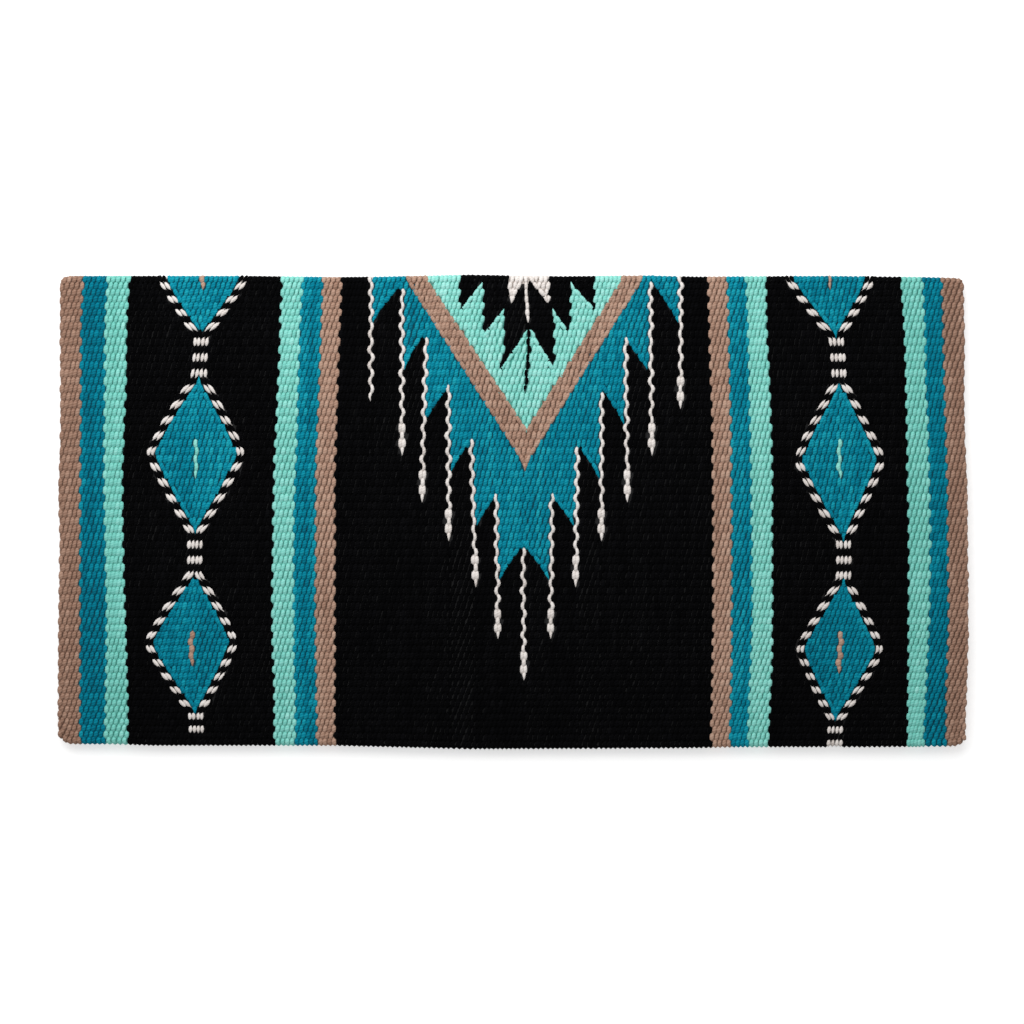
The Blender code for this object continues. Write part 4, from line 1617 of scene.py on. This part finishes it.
def new_piece(name: str, mesh: bpy.types.Mesh, materials: list[bpy.types.Material]) -> bpy.types.Object:
    """Puts a mesh into the scene.

    Args:
        name: the piece's name.
        mesh: its mesh.
        materials: its materials, by their slots.

    Returns:
        The piece.
    """
    for material in materials:
        mesh.materials.append(material)
    piece = bpy.data.objects.new(name, mesh)
    bpy.context.scene.collection.objects.link(piece)
    LOG.info("%s: %d faces", name, len(mesh.polygons))
    return piece


@dataclass
class Blanket:
    """The weft: every area of both halves, and the turn of the fold."""

    cloth: Cloth
    weaver: Weaver
    materials: dict[Wool, bpy.types.Material]

    def build(self, nodes: dict[str, bpy.types.Object]) -> list[bpy.types.Object]:
        """Builds all pieces of weft.

        Args:
            nodes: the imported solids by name.

        Returns:
            The pieces.
        """
        made = []
        for (half, area), runs in self.weaver.draft.pieces.items():
            if half is not Half.FOLD:
                made += self._weft_pieces(half, area, runs, nodes)
        return [*made, self._fold_piece()]

    def _weft_pieces(
        self, half: Half, area: str, runs: list[Run], nodes: dict[str, bpy.types.Object]
    ) -> list[bpy.types.Object]:
        """Builds one area of one half, in two pieces where it is too large for one.

        Args:
            half: the half.
            area: the area's name.
            runs: its runs of yarn.
            nodes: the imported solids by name.

        Returns:
            The pieces.
        """
        node, parts = f"{half.value}_{area}", {"": runs}
        if area == "centre_ground":
            middle = self.weaver.draft.first_pick["centre_line"]
            left = [r for r in runs if r.row < middle]
            parts = {"_left": left, "_right": [r for r in runs if r.row >= middle]}
        made = []
        for suffix, part in parts.items():
            piece = self._piece(f"{node}_weft{suffix}", part)
            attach(piece, f"{half.value}_half")
            if node in nodes:
                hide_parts(node)
            made.append(piece)
        return made

    def _piece(self, name: str, runs: list[Run]) -> bpy.types.Object:
        """Builds one piece from runs of yarn.

        Args:
            name: the piece's name.
            runs: its runs.

        Returns:
            The piece, with a material slot for each of its wools.
        """
        wools = sorted({r.wool for r in runs}, key=lambda w: w.value)
        mesh = self.weaver.mesh(name, runs, wools)
        piece = new_piece(name, mesh, [self.materials[wool] for wool in wools])
        return piece

    def _fold_piece(self) -> bpy.types.Object:
        """Builds the stretch of every yarn that goes round the fold.

        Returns:
            The piece, which replaces the fold's solid.
        """
        pieces = self.weaver.draft.pieces
        runs = [r for (half, _), part in pieces.items() if half is Half.FOLD for r in part]
        piece = self._piece("fold_weft_turn", runs)
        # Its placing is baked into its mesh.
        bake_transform(piece)
        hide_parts("fold_bend")
        return piece


@dataclass
class WarpCord:
    """The warp of one half: one cotton cord that winds to and fro inside the weft.

    Attributes:
        cloth: the cloth that it is in.
        half: its half.
        material: its material.
        radius: half the cord's thickness.
        end_room: from the cloth's side to the cord's turns.
        sides: faces round the cord.
        straight_steps: rings in each course.
        turn_steps: rings in each turn between two courses.
        cap_reach: half the length and half the height of an end in its map.
    """

    cloth: Cloth
    half: Half
    material: bpy.types.Material
    radius: float = 0.9 * MM
    end_room: float = 7.0 * MM
    sides: int = 6
    straight_steps: int = 24
    turn_steps: int = 4
    cap_reach: float = 0.3

    def _path(self) -> np.ndarray:
        """Middle of the cord.

        Returns:
            Its points, from the warp at the hem to the one nearest the fold.
        """
        counts = np.arange(self.cloth.warps_per_half).astype(float)
        if self.half is Half.LOWER:
            counts = self.cloth.warps - 1 - counts
        y, z, _ = self.cloth.middle(counts)
        reach = self.cloth.width / 2 - self.end_room - self.cloth.warp_pitch / 2
        shares = np.linspace(-1, 1, self.straight_steps)
        angles = np.linspace(0, math.pi, self.turn_steps + 2)[1:-1]
        points = []
        for n, side in enumerate(np.resize((1, -1), len(y))):
            points += [(side * reach * share, y[n], z[n]) for share in shares]
            if n + 1 < len(y):
                middle, radius = (y[n] + y[n + 1]) / 2, (y[n + 1] - y[n]) / 2
                turn = zip(side * (reach + radius * np.sin(angles)), middle - radius * np.cos(angles))
                points += [(turn_x, turn_y, z[n]) for turn_x, turn_y in turn]
        return self.cloth.drawn_in(np.array(points))

    def build(self) -> bpy.types.Object:
        """Builds the cord as a closed tube.

        Returns:
            The piece, which rides its half and replaces the half's warp.
        """
        path, sides = self._path(), self.sides
        tangent = np.gradient(path, axis=0)
        tangent /= np.linalg.norm(tangent, axis=1, keepdims=True)
        up = np.array([[0.0, 0.0, 1.0]])
        aside = np.cross(up, tangent)
        side = np.arange(sides)
        turn = math.tau * side / sides
        section = aside[:, None] * np.cos(turn)[None, :, None] + up[:, None] * np.sin(turn)[None, :, None]
        vertices = (path[:, None] + self.radius * section).reshape(-1, 3)
        after = (side + 1) % sides
        a = np.arange(len(path) - 1)[:, None] * sides
        quads = np.stack([a + side, a + after, a + sides + after, a + sides + side], -1).reshape(-1, 4)
        ends = [side[::-1].tolist(), (len(vertices) - sides + side).tolist()]
        name = f"{self.half.value}_warp_cotton"
        mesh = bpy.data.meshes.new(name)
        mesh.from_pydata(vertices.tolist(), [], quads.tolist() + ends)
        mesh.polygons.foreach_set("use_smooth", [True] * len(quads) + [False] * len(ends))
        travelled = np.append(0, np.cumsum(np.linalg.norm(np.diff(path, axis=0), axis=1))) / MM
        u = np.stack([travelled[:-1], travelled[:-1], travelled[1:], travelled[1:]], -1)[:, None]
        v = side[:, None] / sides + np.array([0, 1, 1, 0]) / sides
        quads_uv = np.stack(np.broadcast_arrays(u, v[None]), -1).reshape(-1, 2)
        around = self.cap_reach * np.stack([np.cos(turn), np.sin(turn)], 1)
        caps_uv = [around + (travelled[end], 0) for end in (0, -1)]
        layer = mesh.uv_layers.new(name=YARN_MAP)
        layer.uv.foreach_set("vector", np.concatenate([quads_uv, *caps_uv]).astype(np.float32).ravel())
        piece = new_piece(name, mesh, [self.material])
        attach(piece, f"{self.half.value}_half")
        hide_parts(f"{self.half.value}_warp_cord")
        LOG.info("%s: %.1f m of cord", name, travelled[-1] * MM)
        return piece


@dataclass
class ClothInside:
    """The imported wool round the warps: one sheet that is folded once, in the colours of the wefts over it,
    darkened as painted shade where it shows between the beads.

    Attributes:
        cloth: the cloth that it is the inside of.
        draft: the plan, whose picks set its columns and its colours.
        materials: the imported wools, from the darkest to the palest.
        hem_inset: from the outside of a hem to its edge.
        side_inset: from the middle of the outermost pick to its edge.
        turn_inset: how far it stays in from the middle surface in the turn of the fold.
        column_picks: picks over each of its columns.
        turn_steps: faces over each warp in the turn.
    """

    cloth: Cloth
    draft: Draft
    materials: dict[Wool, bpy.types.Material]
    thickness: float = 2.0 * MM
    hem_inset: float = 2.6 * MM
    side_inset: float = 0.5 * MM
    turn_inset: float = 1.0 * MM
    column_picks: int = 2
    turn_steps: int = 5

    def __post_init__(self) -> None:
        """Finds where its rows of faces end: between the warps, and closer together in the turn."""
        cloth = self.cloth
        ends = (cloth.crease, cloth.crease + cloth.fold_warps)
        turn = np.linspace(*ends, cloth.fold_warps * self.turn_steps + 1)
        flat = np.arange(cloth.warps_per_half) - 0.5
        self.counts = np.concatenate([flat, turn, cloth.warps - 1 - flat[::-1]])
        self.turning = (self.counts >= ends[0]) & (self.counts <= ends[1])

    def _corners(self) -> np.ndarray:
        """Corners of its faces.

        Returns:
            The outer side, then the inner side, as two grids of columns and rows.
        """
        cloth, draft, step = self.cloth, self.draft, self.column_picks
        picks = draft.rows.across[: draft.straight]
        between = (picks[step - 1 : -1 : step] + picks[step::step]) / 2
        edges = np.concatenate([picks[:1] + self.side_inset, between, picks[-1:] - self.side_inset])
        x = np.array([np.interp(self.counts, cloth.counts(), edge) for edge in edges])
        y, z, angle = cloth.middle(self.counts)
        y = np.where(self.turning, y - self.turn_inset, y)
        y[[0, -1]] = cloth.hem_y + self.hem_inset
        sides = []
        for offset in (self.thickness / 2, -self.thickness / 2):
            grid = np.broadcast_arrays(x, y + offset * np.cos(angle), z + offset * np.sin(angle))
            sides.append(np.stack(grid, -1))
        return np.array(sides)

    def _slots(self) -> np.ndarray:
        """Picks the colours of its faces.

        Returns:
            Material slot of each face of a side: the darkest wool of the picks over it.
        """
        palest_last = list(self.materials)
        ranks = np.array([palest_last.index(wool) for _, wool in self.draft.areas])[self.draft.ground]
        darkest = np.minimum.reduceat(ranks, np.arange(0, len(ranks), self.column_picks), axis=0)
        return darkest[:, np.floor((self.counts[1:] + self.counts[:-1]) / 2 + 0.5).astype(int)]

    def build(self) -> bpy.types.Object:
        """Builds the sheet.

        Returns:
            The piece, which follows the uneven hems.
        """
        corners, slots = self._corners(), self._slots()
        front, back = np.arange(corners[..., 0].size).reshape(corners.shape[:3])
        # Each patch: its corners' numbers, its slots, and its place in the map.
        patches = (
            (front, slots, (0.0, 0.49)),
            (back[::-1], slots[::-1], (0.50, 0.99)),
            (np.stack([back[:, 0], front[:, 0]], 1), slots[:, :1], (0.491, 0.495)),
            (np.stack([front[:, -1], back[:, -1]], 1), slots[:, -1:], (0.495, 0.499)),
            (np.stack([front[0], back[0]], 1), slots[0][:, None], (0.991, 0.995)),
            (np.stack([back[-1], front[-1]], 1), slots[-1][:, None], (0.995, 0.999)),
        )
        faces, uvs = [], []
        for grid, _, v_range in patches:
            places = [np.linspace(*ends, n) for ends, n in zip(((0, 1), v_range), grid.shape)]
            uv = np.stack(np.meshgrid(*places, indexing="ij"), -1)
            for values, found in ((grid, faces), (uv, uvs)):
                around = (values[:-1, :-1], values[1:, :-1], values[1:, 1:], values[:-1, 1:])
                found.append(np.stack(around, 2).reshape(-1, *values.shape[2:]))
        mesh = bpy.data.meshes.new("cloth_inside")
        points = self.cloth.drawn_in(corners.reshape(-1, 3))
        mesh.from_pydata(points.tolist(), [], np.concatenate(faces).reshape(-1, 4).tolist())
        slots = np.concatenate([patch_slots.ravel() for _, patch_slots, _ in patches])
        mesh.polygons.foreach_set("material_index", slots.astype(np.int32))
        layer = mesh.uv_layers.new(name=BAKE_MAP)
        layer.uv.foreach_set("vector", np.concatenate(uvs).astype(np.float32).ravel())
        piece = new_piece("cloth_inside", mesh, list(self.materials.values()))
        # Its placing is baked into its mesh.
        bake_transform(piece)
        return piece


@dataclass
class Studio:
    """Pale floor, soft light and a camera straight above, as in the photograph.

    Attributes:
        cloth: the cloth that is shown.
        view_width: width of the photograph at the height of the cloth's top.
        view_shift_x: how far the photograph's middle lies from the cloth's.
        floor_drop: how far below the cloth the floor lies, which leaves room for the yarns that stand out.
        floor_glow: light of the floor's own where it is seen, so that it is as white as the photograph's.
    """

    cloth: Cloth
    view_width: float = 971.2 * MM
    view_shift_x: float = -0.85 * MM
    lens: float = 100.0
    sensor: float = 36.0
    floor_side: float = 30.0
    floor_drop: float = 0.9 * MM
    floor_glow: float = 0.48
    sky_strength: float = 0.44
    key_power: float = 17.8
    key_size: tuple[float, float] = (1.8, 1.3)
    key_place: tuple[float, float, float] = (-0.25, 0.9, 0.95)

    def build(self) -> None:
        """Builds the floor, the world, the lamp and the camera."""
        self._floor()
        self._world()
        self._lamp()
        self._camera()
        bpy.context.scene.view_settings.view_transform = "Standard"

    def _floor(self) -> None:
        """Lays a white floor that keeps the blanket's shadow."""
        bpy.ops.mesh.primitive_plane_add(size=self.floor_side, location=(0, 0, -self.floor_drop))
        floor = bpy.context.object
        floor.name = "studio_floor"
        material = bpy.data.materials.new("white_painted_floor")
        tree, surface = empty_tree(material, "OutputMaterial")
        grain = add_node(tree, "TexNoise", {"Scale": 40.0, "Detail": 2.0}).outputs["Fac"]
        paint = ramp(tree, grain, {0.0: "EDEDED", 1.0: "F2F2F2"})
        matt = add_node(tree, "BsdfDiffuse", {"Color": paint}).outputs[0]
        glow = add_node(tree, "Emission", {"Color": (1, 1, 1, 1), "Strength": self.floor_glow}).outputs[0]
        unlit = add_node(tree, "Emission", {"Color": (0, 0, 0, 1), "Strength": 0.0}).outputs[0]
        own = add_node(tree, "MixShader", {0: seen_directly(tree), 1: unlit, 2: glow}).outputs[0]
        tree.links.new(add_node(tree, "AddShader", {0: matt, 1: own}).outputs[0], surface)
        floor.data.materials.append(material)

    def _world(self) -> None:
        """Lights the object evenly from all round, and shows white to the camera."""
        world = bpy.data.worlds.new("studio_air")
        bpy.context.scene.world = world
        tree, surface = empty_tree(world, "OutputWorld")
        fill = add_node(tree, "Background", {"Color": (1, 1, 1, 1), "Strength": self.sky_strength})
        white = add_node(tree, "Background", {"Color": (1, 1, 1, 1), "Strength": 1.0})
        links = {0: seen_directly(tree), 1: fill.outputs[0], 2: white.outputs[0]}
        tree.links.new(add_node(tree, "MixShader", links).outputs[0], surface)

    def _lamp(self) -> None:
        """Hangs one large soft lamp above the fold side, to the left."""
        lamp = bpy.data.lights.new("softbox", "AREA")
        lamp.shape = "RECTANGLE"
        lamp.size, lamp.size_y = self.key_size
        lamp.energy = self.key_power
        holder = bpy.data.objects.new("softbox", lamp)
        bpy.context.scene.collection.objects.link(holder)
        holder.location = self.key_place
        direction = -holder.location.normalized()
        holder.rotation_euler = direction.to_track_quat("-Z", "Y").to_euler()

    def _camera(self) -> None:
        """Puts the camera straight above, at the height from which the photograph's frame fits."""
        camera = bpy.data.cameras.new("camera")
        camera.lens, camera.sensor_width = self.lens, self.sensor
        camera.clip_end = 100.0
        holder = bpy.data.objects.new("camera", camera)
        bpy.context.scene.collection.objects.link(holder)
        top = self.cloth.upper_z + self.cloth.half_layer
        holder.location = (self.view_shift_x, 0, top + self.view_width * self.lens / self.sensor)
        bpy.context.scene.camera = holder


def main() -> None:
    """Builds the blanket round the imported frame."""
    logging.basicConfig(level=logging.INFO, format="%(message)s")
    for obj in list(bpy.data.objects):
        bpy.data.objects.remove(obj)
    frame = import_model()
    cloth = Cloth.from_frame()
    Studio(cloth).build()
    draft = Draft(cloth)
    materials = {wool: finish.build() for wool, finish in FINISHES.items()}
    pieces = Blanket(cloth, Weaver(cloth, Yarn(), draft), materials).build(frame["nodes"])
    LOG.info("%d pieces of weft, %d faces", len(pieces), sum(len(p.data.polygons) for p in pieces))
    packed = {wool: finish.build() for wool, finish in PACKED_FINISHES.items()}
    inside = ClothInside(cloth, draft, packed).build()
    cotton = COTTON.build()
    for half in (Half.UPPER, Half.LOWER):
        WarpCord(cloth, half, cotton).build()


if __name__ == "__main__":
    main()
